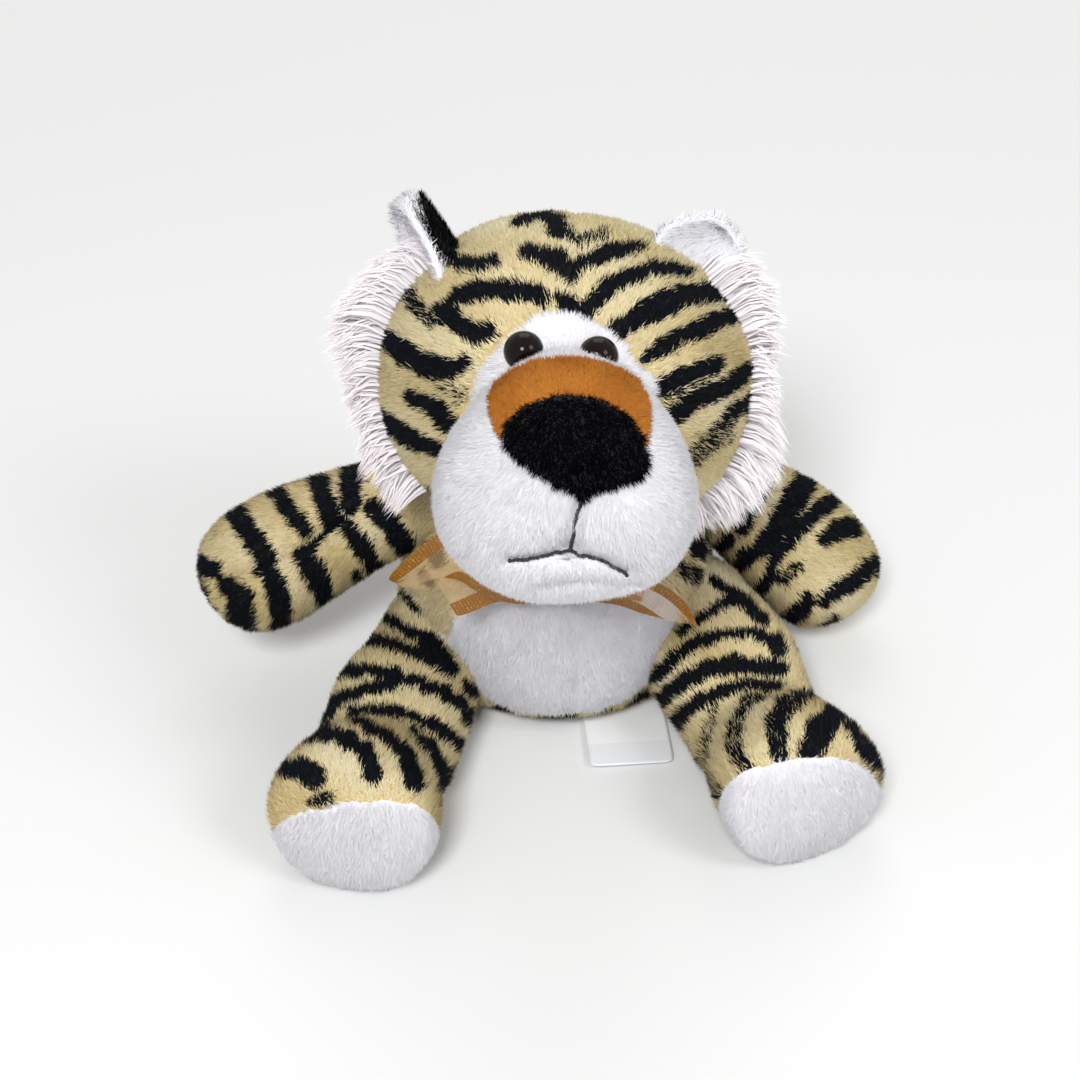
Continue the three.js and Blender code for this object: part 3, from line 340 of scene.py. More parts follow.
RIPPLE_WAVES = 7
RIPPLE_RANGE = 3.2  # what their sum seldom goes beyond


def ripple(places, size, seed):
    """Smooth bumps of about a size over places, from about -1 to 1."""
    dice = np.random.default_rng(seed)
    total = np.zeros(len(places))
    for _ in range(RIPPLE_WAVES):
        way = dice.normal(size=3)
        way *= 2 * math.pi / (size * dice.uniform(0.7, 1.6)) / np.linalg.norm(way)
        total += np.sin(places @ way + dice.uniform(0, 2 * math.pi))
    return total / RIPPLE_RANGE


def ease(low, high, value):
    share = np.clip((value - low) / (high - low), 0, 1)
    return share * share * (3 - 2 * share)


def unit(vectors):
    return vectors / np.maximum(np.linalg.norm(vectors, axis=1, keepdims=True), 1e-9)


def local(places, body):
    back = np.array(body.inverted())
    return places @ back[:3, :3].T + back[:3, 3]


def off_segment(pixels, start, end):
    """How far pixels are from a straight line, and the share of its length that they lie at."""
    a, b = np.array(start[:2], float), np.array(end[:2], float)
    way = b - a
    share = np.clip((pixels - a) @ way / (way @ way), 0, 1)
    return np.linalg.norm(pixels - a - share[:, None] * way, axis=1), share


def off_line(pixels, line):
    """How far pixels are from a line through points."""
    return np.min([off_segment(pixels, *ends)[0] for ends in zip(line[:-1], line[1:])], axis=0)


def within(pixels, outline):
    """Which pixels lie inside a closed outline."""
    x, y = pixels[:, 0], pixels[:, 1]
    inside = np.zeros(len(pixels), bool)
    for (ax, ay), (bx, by) in zip(outline, outline[1:] + outline[:1]):
        if ay == by:
            continue
        crosses = (ay > y) != (by > y)
        inside ^= crosses & (x < ax + (y - ay) / (by - ay) * (bx - ax))
    return inside


def facing(places, normals):
    """How squarely a surface faces the camera, from -1 to 1."""
    return (unit(np.array(camera_place) - places) * normals).sum(axis=1)


STRIPE_GROWTH = 1.06
STRIPE_SPREAD = 2.1  # pixels that the pile's lie takes off each side of a stripe
STRIPE_SOFTNESS = 3.5  # pixels over which a stripe's edge fades


def drawn(pixels, stripes):
    """How dark the drawn stripes are at pixels, from 0 to 1."""
    dark = np.zeros(len(pixels))
    for strength, points in stripes:
        for start, end in zip(points[:-1], points[1:]):
            off, share = off_segment(pixels, start, end)
            half = STRIPE_GROWTH * (start[2] + share * (end[2] - start[2])) / 2 + STRIPE_SPREAD
            dark = np.maximum(dark, strength * np.clip((half - off) / STRIPE_SOFTNESS + 0.5, 0, 1))
    return dark


def banded(along, places, spacing, seed):
    """Uneven bands across a way along the cloth, for the sides that the photograph doesn't show."""
    wave = np.sin(2 * math.pi * (along / spacing + 0.28 * ripple(places, 30, seed)))
    return np.clip((wave + 0.5 * ripple(places, 11, seed + 1) - 0.1) * 2.5 + 0.5, 0, 1)


def nowhere(pixels):
    return np.zeros(len(pixels))


def stripes_over(stripes, along, spacing, seed, shown=None):
    """A function that gives a striped piece's darkness at places with normals."""

    def dark(places, normals, dice=None):
        pixels = in_photo(places)
        wobble = 1.6 * np.stack([ripple(places, 5, seed + 5), ripple(places, 5, seed + 6)], axis=1)
        if dice is not None:
            wobble = wobble + dice.normal(scale=1.1, size=pixels.shape)
        near = ease(-0.12, 0.06, facing(places, normals))
        if shown is not None:
            near = near * shown(pixels)
        hidden = banded(along(places), places, spacing, seed)
        return near * drawn(pixels + wobble, stripes) + (1 - near) * hidden

    return dark


# ---------------------------------------------------------------- finishes


def both_ways(operation):
    """An operator of dials that adds a Math node, and its reflected form."""

    def straight(self, other):
        return self.maths(operation, self, other)

    def reflected(self, other):
        return self.maths(operation, other, self)

    return straight, reflected


class Dial:
    """A socket of a material. Sums, differences and products of dials add its Math nodes."""

    def __init__(self, finish, socket):
        self.finish, self.socket = finish, socket

    def maths(self, operation, *values):
        return self.finish.node("ShaderNodeMath", {"operation": operation}, dict(enumerate(values)))

    __add__, __radd__ = both_ways("ADD")
    __sub__, __rsub__ = both_ways("SUBTRACT")
    __mul__, __rmul__ = both_ways("MULTIPLY")

    def over(self, edge):
        return self.maths("GREATER_THAN", self, edge)

    def near(self, middle, width):
        return self.maths("COMPARE", self, middle, width)

    def sine(self):
        return self.maths("SINE", self)


class Finish:
    """One material, or the world, built node by node."""

    def __init__(self, name, world=False):
        self.made = (bpy.data.worlds if world else bpy.data.materials).new(name)
        self.made.use_nodes = True
        self.nodes, self.links = self.made.node_tree.nodes, self.made.node_tree.links
        self.nodes.clear()
        self.end = self.nodes.new(f"ShaderNodeOutput{'World' if world else 'Material'}")

    def put(self, socket, value):
        if isinstance(value, Dial):
            self.links.new(value.socket, socket)
        else:
            socket.default_value = value

    def node(self, kind, settings=None, sockets=None, out=0):
        node = self.nodes.new(kind)
        for name, value in (settings or {}).items():
            if name == "stops":
                ramp = node.color_ramp.elements
                while len(ramp) < len(value):
                    ramp.new(0.5)
                for stop, (place, colour) in zip(ramp, value):
                    stop.position, stop.color = place, colour
            else:
                setattr(node, name, value)
        for name, value in (sockets or {}).items():
            self.put(node.inputs[name], value)
        return Dial(self, node.outputs[out])

    def blend(self, share, first, second, kind="MIX"):
        settings = {"data_type": "RGBA", "blend_type": kind}
        return self.node("ShaderNodeMix", settings, {0: share, 6: first, 7: second}, out=2)

    def ramp(self, value, stops):
        return self.node("ShaderNodeValToRGB", {"stops": stops}, {0: value})

    def place(self):
        return self.node("ShaderNodeTexCoord", out=3)

    def speckle(self, scale):
        return self.node("ShaderNodeTexNoise", {}, {"Scale": scale, "Detail": 2, "Vector": self.place()})

    def ribs(self, way, scale):
        settings = {"bands_direction": way}
        return self.node("ShaderNodeTexWave", settings, {"Vector": self.place(), "Scale": scale})

    def map(self, name):
        where = self.node("ShaderNodeUVMap", {"uv_map": name})
        return [self.node("ShaderNodeSeparateXYZ", {}, {0: where}, out=i) for i in (0, 1)]

    def background_ray(self):
        """1 for rays that show the background: the camera's own, off metal or through glass."""
        kinds = ("Is Camera Ray", "Is Glossy Ray", "Is Transmission Ray")
        camera, glossy, through_glass = (self.node("ShaderNodeLightPath", out=kind) for kind in kinds)
        return camera.maths("MAXIMUM", camera.maths("MAXIMUM", camera, glossy), through_glass)

    def bump(self, height, strength, distance):
        sockets = {"Height": height, "Strength": strength, "Distance": distance}
        return self.node("ShaderNodeBump", {}, sockets)

    def principled(self, **sockets):
        named = {name.replace("_", " "): value for name, value in sockets.items()}
        return self.node("ShaderNodeBsdfPrincipled", {}, named)

    def ends_in(self, surface):
        self.put(self.end.inputs["Surface"], surface)
        return self.made

    def shader(self, **sockets):
        return self.ends_in(self.principled(**sockets))

    def background_mix(self, share, near, far):
        return self.ends_in(self.node("ShaderNodeMixShader", {}, {0: share, 1: near, 2: far}))


def paint(*parts):
    """A colour as it looks on screen, from 0 to 255."""
    shares = [part / 255 for part in parts]
    return (*(s / 12.92 if s <= 0.04045 else ((s + 0.055) / 1.055) ** 2.4 for s in shares), 1.0)


PILE_MAP, CLOTH_MAP = "OFBake", "cloth"

striped_stops = [
    (0.0, paint(250, 240, 204)), (0.2, paint(238, 221, 172)), (0.38, paint(210, 189, 132)),
    (0.46, paint(136, 122, 84)), (0.56, paint(42, 43, 42)), (0.7, paint(12, 14, 18)),
    (0.86, paint(8, 12, 19)), (1.0, paint(24, 36, 50)),
]
# The backing cloth's colours are darkened with painted shade, as if in shadow down among the pile's roots
striped_backing_shade_stops = [
    (0.0, paint(204, 181, 120)), (0.45, paint(142, 126, 88)), (0.6, paint(22, 22, 24)),
    (1.0, paint(9, 11, 16)),
]
white_stops = [(0.0, paint(251, 251, 255)), (0.6, paint(248, 247, 253)), (1.0, paint(238, 231, 238))]
orange_stops = [(0.0, paint(214, 142, 58)), (0.5, paint(194, 118, 36)), (1.0, paint(160, 90, 22))]
black_stops = [(0.0, paint(3, 4, 7)), (0.7, paint(7, 8, 12)), (1.0, paint(24, 26, 34))]
ruff_stops = [(0.0, paint(255, 252, 254)), (0.55, paint(250, 242, 246)), (1.0, paint(232, 208, 214))]


def pile_finish(name, stops, root_shade, gloss=0.2):
    """Pile: its map's first number picks a fibre's colour and its second runs from root to tip, along which
    painted shade darkens each fibre towards its root.
    """
    finish = Finish(name)
    tone, rise = finish.map(PILE_MAP)
    shade = root_shade + (1 - root_shade) * rise
    grey = finish.node("ShaderNodeCombineXYZ", {}, {0: shade, 1: shade, 2: shade})
    base = finish.blend(1.0, finish.ramp(tone, stops), grey, "MULTIPLY")
    return finish.shader(Base_Color=base, Roughness=0.8, Specular_IOR_Level=gloss)


def woven(finish, colour):
    """The pile's backing cloth, in a colour."""
    weave = finish.bump(finish.speckle(2600), 0.4, 0.0004)
    return finish.shader(Base_Color=colour, Roughness=0.9, Sheen_Weight=0.1, Normal=weave)


def striped_backing_finish():
    finish = Finish("striped_backing")
    dark = finish.node("ShaderNodeAttribute", {"attribute_name": "dark"}, out=2)
    return woven(finish, finish.ramp(dark, striped_backing_shade_stops))


def backing_finish(name, light, deep):
    """Cloth under a plain pile, a little uneven in colour."""
    finish = Finish(name)
    return woven(finish, finish.blend(finish.speckle(140), light, deep))


def eye_finish():
    finish = Finish("eye_plastic_glossy")
    colour = finish.blend(finish.speckle(900), paint(9, 4, 3), paint(24, 10, 6))
    return finish.shader(Base_Color=colour, Roughness=0.07, Specular_IOR_Level=0.14)


def washer_finish():
    finish = Finish("washer_plastic_matt")
    grain = finish.speckle(1500)
    colour = finish.blend(grain, paint(232, 232, 226), paint(216, 216, 210))
    return finish.shader(Base_Color=colour, Roughness=0.45 + 0.15 * grain)


def thread_finish():
    finish = Finish("mouth_thread")
    strand = finish.ribs("DIAGONAL", 900.0)
    colour = finish.blend(strand, paint(12, 12, 15), paint(44, 42, 48))
    return finish.shader(Base_Color=colour, Roughness=0.55, Normal=finish.bump(strand, 0.5, 0.0001))


def label_finish():
    finish = Finish("label_tape_blank")
    along = finish.map(CLOTH_MAP)[1]
    hem = along.over(0.9) + (1 - along).over(0.94)
    colour = finish.blend(0.5 * hem, paint(244, 246, 249), paint(224, 228, 234))
    ribs = finish.bump(finish.ribs("X", 1800.0), 0.25, 0.0001)
    return finish.shader(Base_Color=colour, Roughness=0.42, Normal=ribs)


def ribbon_finish():
    """Sheer cloth between two satin edges. The map's first number runs across the ribbon."""
    finish = Finish("ribbon_organza")
    across, along = finish.map(CLOTH_MAP)
    edge = 1 - across.near(0.5, 0.24)
    weft, warp = (along * 900).sine(), (across * 420).sine()
    # Painted glints: random specks of the satin edges are a brighter gold
    glint = finish.speckle(2200).over(0.62)
    satin = finish.blend(glint, paint(146, 94, 6), paint(206, 152, 48))
    satin = finish.blend(0.35 + 0.35 * weft, satin, paint(118, 70, 4))
    sheer = finish.blend(0.5 + 0.5 * warp, paint(226, 192, 146), paint(202, 164, 112))
    return finish.shader(
        Base_Color=finish.blend(edge, sheer, satin),
        Roughness=0.5 - 0.2 * edge,
        Alpha=0.32 + 0.68 * edge + 0.04 * weft + 0.04 * warp,
        Normal=finish.bump(weft, 0.2, 0.0001),
    )


BACKDROP = paint(250, 250, 248)


def floor_finish():
    """Near the toy it takes shadows, and further off it is as bright as the backdrop."""
    finish = Finish("studio_floor")
    colour = finish.blend(finish.speckle(3), paint(227, 229, 229), paint(230, 231, 231))
    near = finish.principled(Base_Color=colour, Roughness=0.9, Specular_IOR_Level=0.1)
    far = finish.node("ShaderNodeEmission", {}, {"Color": BACKDROP})
    away = finish.node("ShaderNodeVectorMath", {"operation": "LENGTH"}, {0: finish.place()}, out="Value")
    fade = {"Value": away, "From Min": 0.22, "From Max": 0.9}
    share = finish.node("ShaderNodeMapRange", {"interpolation_type": "SMOOTHSTEP"}, fade)
    return finish.background_mix(share * finish.background_ray(), near, far)


def room_light():
    """An even glow on the toy, and the backdrop for whatever looks at it."""
    finish = Finish("room", world=True)
    glow = finish.node("ShaderNodeBackground", {}, {"Color": paint(248, 245, 243), "Strength": 0.45})
    backdrop = finish.node("ShaderNodeBackground", {}, {"Color": BACKDROP})
    return finish.background_mix(finish.background_ray(), glow, backdrop)


# ---------------------------------------------------------------- pieces


def show(name, data):
    """A new object in the scene."""
    shown = bpy.data.objects.new(name, data)
    bpy.context.collection.objects.link(shown)
    return shown


def mesh_of(work, name):
    mesh = bpy.data.meshes.new(name)
    work.to_mesh(mesh)
    work.free()
    return mesh


def add_to(work, part):
    """Puts one skin's faces into another."""
    mesh = mesh_of(part, "part")
    work.from_mesh(mesh)
    bpy.data.meshes.remove(mesh)


def in_order(work):
    """Sorts the faces by their corners. Welding and thickening leave them in another order on each run."""
    work.verts.index_update()
    corners = {face: sorted(vert.index for vert in face.verts) for face in work.faces}
    rank = {face: place for place, face in enumerate(sorted(work.faces, key=corners.get))}
    work.faces.sort(key=rank.get)
    work.faces.index_update()


def thicken(work, thickness):
    bmesh.ops.solidify(work, geom=work.faces[:], thickness=thickness)
    in_order(work)


def sphere(around, last, radius):
    work = bmesh.new()
    bmesh.ops.create_uvsphere(work, u_segments=around, v_segments=last, radius=radius)
    in_order(work)
    return work


def make_piece(work, name, body, finish):
    """A finished mesh, in metres, that rides on a body."""
    bmesh.ops.scale(work, vec=(MM, MM, MM), verts=work.verts)
    mesh = mesh_of(work, name)
    mesh.shade_smooth()
    mesh.materials.append(finish)
    piece = show(name, mesh)
    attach(piece, body)
    return piece


def stands_for(piece, slot, *nodes, fill=None):
    """Hides the solids that a piece replaces. Its material slot and how full it is are not used."""
    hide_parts(*nodes)


def through(rings, steps):
    """Smooth rings through given ones. A ring is its height, half width, half thickness, middle and lean."""
    rows = np.array(rings, float)
    padded = np.vstack([2 * rows[0] - rows[1], rows, 2 * rows[-1] - rows[-2]])
    out = []
    for i in range(len(rows) - 1):
        p0, p1, p2, p3 = padded[i : i + 4]
        for step in range(steps):
            t = step / steps
            value = 2 * p1 + (p2 - p0) * t + (2 * p0 - 5 * p1 + 4 * p2 - p3) * t**2
            out.append((value + (3 * p1 - p0 - 3 * p2 + p3) * t**3) / 2)
    out.append(rows[-1])
    return np.array(out)


def lofted(rings, around, steps, taper=0):
    """A closed skin through rings along +Z, from the lowest pole to the highest."""
    rows = through([(*ring, *(0,) * (6 - len(ring))) for ring in rings], steps)
    rows[:, 1:3] = np.maximum(rows[:, 1:3], 0)
    last = len(rows) - 1
    work = sphere(around, last, 1)
    for vert in work.verts:
        row = last - round(math.acos(max(-1, min(1, vert.co.z))) / math.pi * last)
        z, a, b, x, y, lean = rows[row]
        angle = math.atan2(vert.co.y, vert.co.x)
        up = y + b * math.sin(angle)
        vert.co = (x + a * math.cos(angle) * (1 - taper * math.sin(angle)), up, z - lean * up)
    return work


def ball_rings(a, b, c, count, fullness=1.0):
    rings = []
    for i in range(count + 1):
        angle = math.pi * i / count
        girth = 0 if i in (0, count) else math.sin(angle) ** fullness
        rings.append((-math.cos(angle) * c, a * girth, b * girth))
    return rings


def end_rings(radius, count=6):
    angles = [math.pi / 2 * i / count for i in range(count + 1)]
    return [(-math.cos(t) * radius, math.sin(t) * radius, math.sin(t) * radius) for t in angles]


def places_of(work):
    work.normal_update()
    places = np.array([vert.co for vert in work.verts])
    normals = np.array([vert.normal for vert in work.verts])
    return places, normals


def push(work, distance):
    """Moves a skin along its normals by a distance, or by one for each corner."""
    places, normals = places_of(work)
    for vert, place in zip(work.verts, places + normals * np.reshape(distance, (-1, 1))):
        vert.co = place


def lumps(work, size, height, seed):
    push(work, height * ripple(places_of(work)[0], size, seed))


def groove(work, line, depth, width, hard=0.2):
    """Sinks a sewn line, given in the photograph's pixels, into the side that faces the camera."""
    places, normals = places_of(work)
    off = off_line(in_photo(places), line)
    push(work, -depth * np.exp(-((off / width) ** 2)) * ease(hard, hard + 0.2, facing(places, normals)))


def rest_on_floor(work, floor=SKIN_LOWEST):
    for vert in work.verts:
        vert.co.z = max(vert.co.z, floor)


def vectors(items, name):
    """A vector of each of a mesh's corners, as rows of numbers."""
    rows = np.empty(len(items) * 3)
    items.foreach_get(name, rows)
    return rows.reshape(-1, 3)


def set_dark(piece, dark):
    """Stores how dark the stripes are at each corner, for the backing cloth's colour."""
    corners = piece.data.vertices
    layer = piece.data.attributes.new("dark", "FLOAT", "POINT")
    shares = dark(vectors(corners, "co") / MM, vectors(corners, "normal"))
    layer.data.foreach_set("value", shares.astype(np.float32))


def lift_patch(piece, keep, rise, thickness):
    """A closed patch of another piece's faces, lifted off it, where keep is true of their middles."""
    work = bmesh.new()
    work.from_mesh(piece.data)
    bmesh.ops.scale(work, vec=(1 / MM,) * 3, verts=work.verts)
    work.normal_update()
    middles = np.array([face.calc_center_median() for face in work.faces])
    normals = np.array([face.normal for face in work.faces])
    kept = keep(middles, normals)
    bmesh.ops.delete(work, geom=[face for face, stays in zip(work.faces, kept) if not stays], context="FACES")
    edge = [vert for vert in work.verts if vert.is_boundary]
    for _ in range(3):
        bmesh.ops.smooth_vert(work, verts=edge, factor=0.5, use_axis_x=True, use_axis_y=True, use_axis_z=True)
    push(work, rise)
    bmesh.ops.recalc_face_normals(work, faces=work.faces)
    thicken(work, thickness)
    return work


# ---------------------------------------------------------------- pile

DENSITY = 10.0  # fibres on a square millimetre
FULL_DENSITY = 10.0  # at which a fibre has the width that is asked for
PILE_LOWEST = 0.02
FIBRE_TINT = 0.006  # half the width of a fibre on its map
WHITE_PILE = {"length": 1.7, "width": 0.24}


def roots_on(piece, density, seed):
    """Places and normals spread evenly over a piece, in millimetres."""
    mesh = piece.data
    mesh.calc_loop_triangles()
    corners = np.empty(len(mesh.loop_triangles) * 3, int)
    mesh.loop_triangles.foreach_get("vertices", corners)
    corners = corners.reshape(-1, 3)
    places, normals = vectors(mesh.vertices, "co") / MM, vectors(mesh.vertices, "normal")
    a, b, c = (places[corners[:, i]] for i in range(3))
    areas = np.linalg.norm(np.cross(b - a, c - a), axis=1) / 2
    dice = np.random.default_rng(seed)
    count = int(areas.sum() * density)
    chosen = np.searchsorted(np.cumsum(areas), dice.uniform(0, areas.sum(), count))
    chosen = np.minimum(chosen, len(areas) - 1)
    u, v = dice.uniform(size=(2, count))
    flip = u + v > 1
    u[flip], v[flip] = 1 - u[flip], 1 - v[flip]
    mixed = [(1 - u - v)[:, None], u[:, None], v[:, None]]
    where = sum(part * places[corners[chosen, i]] for i, part in enumerate(mixed))
    out = unit(sum(part * normals[corners[chosen, i]] for i, part in enumerate(mixed)))
    return where, out, dice


def fibre_mesh(name, rows, tones, normals, finish, body):
    """Fibres from rows of left and right corners and one tip each, as one piece."""
    count = len(tones)
    left_right = np.stack([corner for row in rows[:-1] for corner in row], axis=1)
    corners = np.concatenate([left_right, rows[-1][:, None]], axis=1)
    each = corners.shape[1]
    corners[:, :, 2] = np.maximum(corners[:, :, 2], PILE_LOWEST)
    levels = len(rows) - 1
    faces = []
    for low in range(0, 2 * levels - 2, 2):
        faces += [(low, low + 1, low + 3), (low, low + 3, low + 2)]
    faces = np.array([*faces, (2 * levels - 2, 2 * levels - 1, 2 * levels)])
    loops = (np.arange(count)[:, None, None] * each + faces[None]).reshape(-1)
    mesh = bpy.data.meshes.new(name)
    mesh.vertices.add(count * each)
    mesh.vertices.foreach_set("co", (corners * MM).reshape(-1).astype(np.float32))
    mesh.loops.add(len(loops))
    mesh.loops.foreach_set("vertex_index", loops.astype(np.int32))
    mesh.polygons.add(len(loops) // 3)
    mesh.polygons.foreach_set("loop_start", np.arange(0, len(loops), 3, dtype=np.int32))
    mesh.update(calc_edges=True)
    mesh.shade_smooth()
    across = np.array([-FIBRE_TINT, FIBRE_TINT] * levels + [0])
    rise = np.array([level / levels for level in range(levels) for _ in range(2)] + [1])
    fibre_map = np.empty((count, each, 2))
    fibre_map[:, :, 0] = np.clip(tones[:, None], 0.01, 0.99) + across
    fibre_map[:, :, 1] = 0.02 + 0.96 * rise
    layer = mesh.uv_layers.new(name=PILE_MAP)
    layer.uv.foreach_set("vector", fibre_map.reshape(-1, 2)[loops].reshape(-1).astype(np.float32))
    mesh.normals_split_custom_set(np.repeat(normals, each, axis=0)[loops])
    mesh.materials.append(finish)
    piece = show(name, mesh)
    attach(piece, body)
    return piece


def grow_pile(
    skin, body, finish, tone, nap, keep, length=1.9, width=0.27, lift=36, density=1.0, seed=1, unruly=0.35
):
    """Short pile over a skin. nap is the way it lies, lift is in degrees, and tone picks a fibre's colour."""
    where, out, dice = roots_on(skin, DENSITY * density, seed)
    kept = keep(where, out)
    where, out = where[kept], out[kept]
    count = len(where)
    swirl = np.stack([ripple(where, 7, seed + i) for i in (11, 12, 13)], axis=1)
    lie = nap(where, out) + unruly * dice.normal(size=(count, 3)) + 0.3 * swirl
    lie = unit(lie - (lie * out).sum(axis=1, keepdims=True) * out)
    tilt = np.radians(lift + 9 * dice.normal(size=count))[:, None]
    way = unit(np.cos(tilt) * lie + np.sin(tilt) * out)
    side = unit(np.cross(way, out) + 0.16 * dice.normal(size=(count, 3)))
    side = unit(side - (side * way).sum(axis=1, keepdims=True) * way)
    reach = (length * dice.uniform(0.7, 1.15, count) * (1 + 0.12 * ripple(where, 5, seed + 20)))[:, None]
    wide = width / math.sqrt(density) * math.sqrt(FULL_DENSITY / DENSITY)
    half = (wide / 2 * dice.uniform(0.8, 1.2, count))[:, None]
    shading = unit(out + 0.22 * lie + 0.16 * dice.normal(size=(count, 3)))
    rows = [(where - side * half, where + side * half), where + way * reach]
    pile_name = skin.name.replace("_skin", "_pile")
    return fibre_mesh(pile_name, rows, tone(where, out, dice), shading, finish, body)


def striped_tone(dark):
    """Each fibre is a pale one or a dark one, so that a stripe's edge is feathered."""

    def tone(places, normals, dice):
        share = dark(places, normals, dice)
        pale = 0.2 + 0.09 * ripple(places, 16, 91) + 0.06 * dice.normal(size=len(places))
        night = 0.78 + 0.05 * ripple(places, 9, 92) + 0.08 * dice.normal(size=len(places))
        darkened = dice.uniform(size=len(places)) < share
        return np.where(darkened, np.clip(night, 0.6, 1), np.clip(pale, 0, 0.42))

    return tone


def plain_tone(middle, spread):
    def tone(places, normals, dice):
        patches, specks = ripple(places, 9, 71), dice.normal(size=len(places))
        return np.clip(middle + spread * (patches + 0.6 * specks), 0, 1)

    return tone


def nap_towards(vector):
    way = np.array(vector, float)
    return lambda places, normals: np.broadcast_to(way, places.shape)


def nap_from(point, drop):
    """Pile that lies away from a point, and a little downwards."""
    centre = np.array(point, float)
    return lambda places, normals: unit(places - centre) + np.array((0, 0, -drop))


def make_plush(work, name, body, plush, nodes, fill, tone, nap, keep, **pile):
    """A sewn skin, and the short pile that grows from it."""
    slot, backing, fibres = plushes[plush]
    skin = make_piece(work, name, body, backing)
    stands_for(skin, slot, *nodes, fill=fill)
    grow_pile(skin, body, fibres, tone, nap, keep, **pile)
    return skin


def make_striped(work, name, body, nodes, fill, dark, nap, keep, **pile):
    skin = make_plush(work, name, body, "striped", nodes, fill, striped_tone(dark), nap, keep, **pile)
    set_dark(skin, dark)
    return skin


# ---------------------------------------------------------------- torso and neck

BELLY_MIDDLE = BELLY_EDGE + BELLY_HEIGHT / 2
TORSO_STRIPES_FROM = 500  # the photograph's row under which the torso's own stripes are drawn
PILE_ON_SKIN = 1.2  # height above the floor under which no pile grows


def torso_radius(height):
    tall = TORSO_HEIGHT + BASE_CUT
    heights = [share * tall - BASE_CUT for share, _ in torso_shares[1:]]
    return np.interp(height, heights, [girth for _, girth in torso_shares[1:]])


def in_torso(places, margin):
    girth = np.maximum(torso_radius(places[:, 2]), 0.05)
    a, b = girth * TORSO_WIDTH / 2 + margin, girth * TORSO_DEPTH / 2 + margin
    level = (places[:, 2] > 0) & (places[:, 2] < TORSO_HEIGHT - 1)
    return ((places[:, 0] / a) ** 2 + (places[:, 1] / b) ** 2 < 1) & level


def on_belly(places, normals, margin=0.0):
    """The panel follows its picture below its middle, and is an oval where the head hides it."""
    x = places[:, 0] / (BELLY_WIDTH / 2 + margin)
    z = (places[:, 2] - BELLY_MIDDLE) / (BELLY_HEIGHT / 2 + margin)
    low = (facing(places, normals) > 0.1) & (places[:, 2] < BELLY_MIDDLE)
    return np.where(low, within(in_photo(places), belly_outline), x * x + z * z < 1) & (places[:, 1] < 0)


def under_limbs(places):
    hidden = np.zeros(len(places), bool)
    for name, girth in hip_girths.items():
        shoulder = np.array(arm_frames[name].translation)
        hip = np.array(leg_frames[name].translation) - (0, 0, HIP_RADIUS * (1 - girth))
        hidden |= np.linalg.norm(places - shoulder, axis=1) < SHOULDER_RADIUS - 1.5
        hidden |= np.linalg.norm(places - hip, axis=1) < HIP_RADIUS * girth - 1.5
    return hidden


def make_torso():
    tall = TORSO_HEIGHT + BASE_CUT
    rings = [
        (share * tall - BASE_CUT, girth * TORSO_WIDTH / 2, girth * TORSO_DEPTH / 2)
        for share, girth in torso_shares
    ]
    work = lofted(rings, 150, 5)
    push(work, -BACKING_DEPTH)
    lumps(work, 26, 0.5, 3)
    groove(work, belly_tuck, 1.6, 5)
    rest_on_floor(work)

    def across(places):
        return places[:, 2] + 0.25 * np.abs(places[:, 0])

    def below_head(pixels):
        return ease(TORSO_STRIPES_FROM, TORSO_STRIPES_FROM + 20, pixels[:, 1])

    def bare(places, normals):
        return ~on_belly(places, normals, -0.4) & ~under_limbs(places) & (places[:, 2] > PILE_ON_SKIN)

    return make_striped(
        work, "torso_skin", "torso", ["torso_cover", "torso_stuffing", "seat_bean_pouch"], 0.85,
        stripes_over(torso_stripes, across, 9.5, 31, below_head), nap_towards((0, -0.2, -1)), bare, seed=5,
    )


def make_belly(torso):
    work = lift_patch(torso, lambda middles, normals: on_belly(middles, normals, 0.2), 0.5, 0.4)
    make_plush(
        work, "belly_skin", "torso", "white", ["belly_panel"], 0.85, plain_tone(0.25, 0.16),
        nap_towards((0, -0.3, -1)), lambda places, normals: on_belly(places, normals) & (normals[:, 1] < 0.1),
        density=1.25, seed=6, **WHITE_PILE,
    )


def make_neck():
    work = lofted(ball_rings(NECK_RADIUS, NECK_RADIUS, NECK_RADIUS, 12), 48, 2)
    push(work, -0.8)
    bmesh.ops.translate(work, vec=NECK_MIDDLE, verts=work.verts)
    make_striped(
        work, "neck_skin", "neck", ["neck_stuffing"], 0.8,
        stripes_over([], lambda places: places[:, 2], 8, 17, nowhere), nap_towards((0, 0, -1)),
        lambda places, normals: (places[:, 2] > 48) & (places[:, 2] < 60), length=1.3, seed=7,
    )


# ---------------------------------------------------------------- head

HEAD_HALVES = np.array((HEAD_WIDTH, HEAD_HEIGHT, HEAD_DEPTH)) / 2
SNOUT_REACH = HEAD_DEPTH / 2 + SNOUT_LENGTH
FACE_AHEAD = 20  # in front of the head's middle, where the nose, the bridge and the mouth are


def in_head(places, margin):
    return ((local(places, head_frame) / (HEAD_HALVES + margin)) ** 2).sum(axis=1) < 1


def in_snout(places, margin):
    own = local(places, head_frame)
    steps, *girths = zip(*snout_shares)
    wide, tall = (np.interp(own[:, 2] / SNOUT_REACH, steps, girth, left=0, right=0) for girth in girths)
    up = (own[:, 1] + SNOUT_DROP) / np.maximum(tall * SNOUT_HEIGHT / 2 + margin, 0.1)
    half = (wide * SNOUT_WIDTH / 2 + margin) * (1 - SNOUT_TAPER * np.clip(up, -1, 1))
    return (own[:, 0] / np.maximum(half, 0.1)) ** 2 + up**2 < 1


def on_brow(places, normals):
    return within(in_photo(places), brow_outline) & (facing(places, normals) > 0.1)


def across_head(places):
    own = local(places, head_frame)
    return own[:, 1] - 0.35 * np.abs(own[:, 0])


head_stripes_dark = stripes_over(head_stripes, across_head, 11, 41)


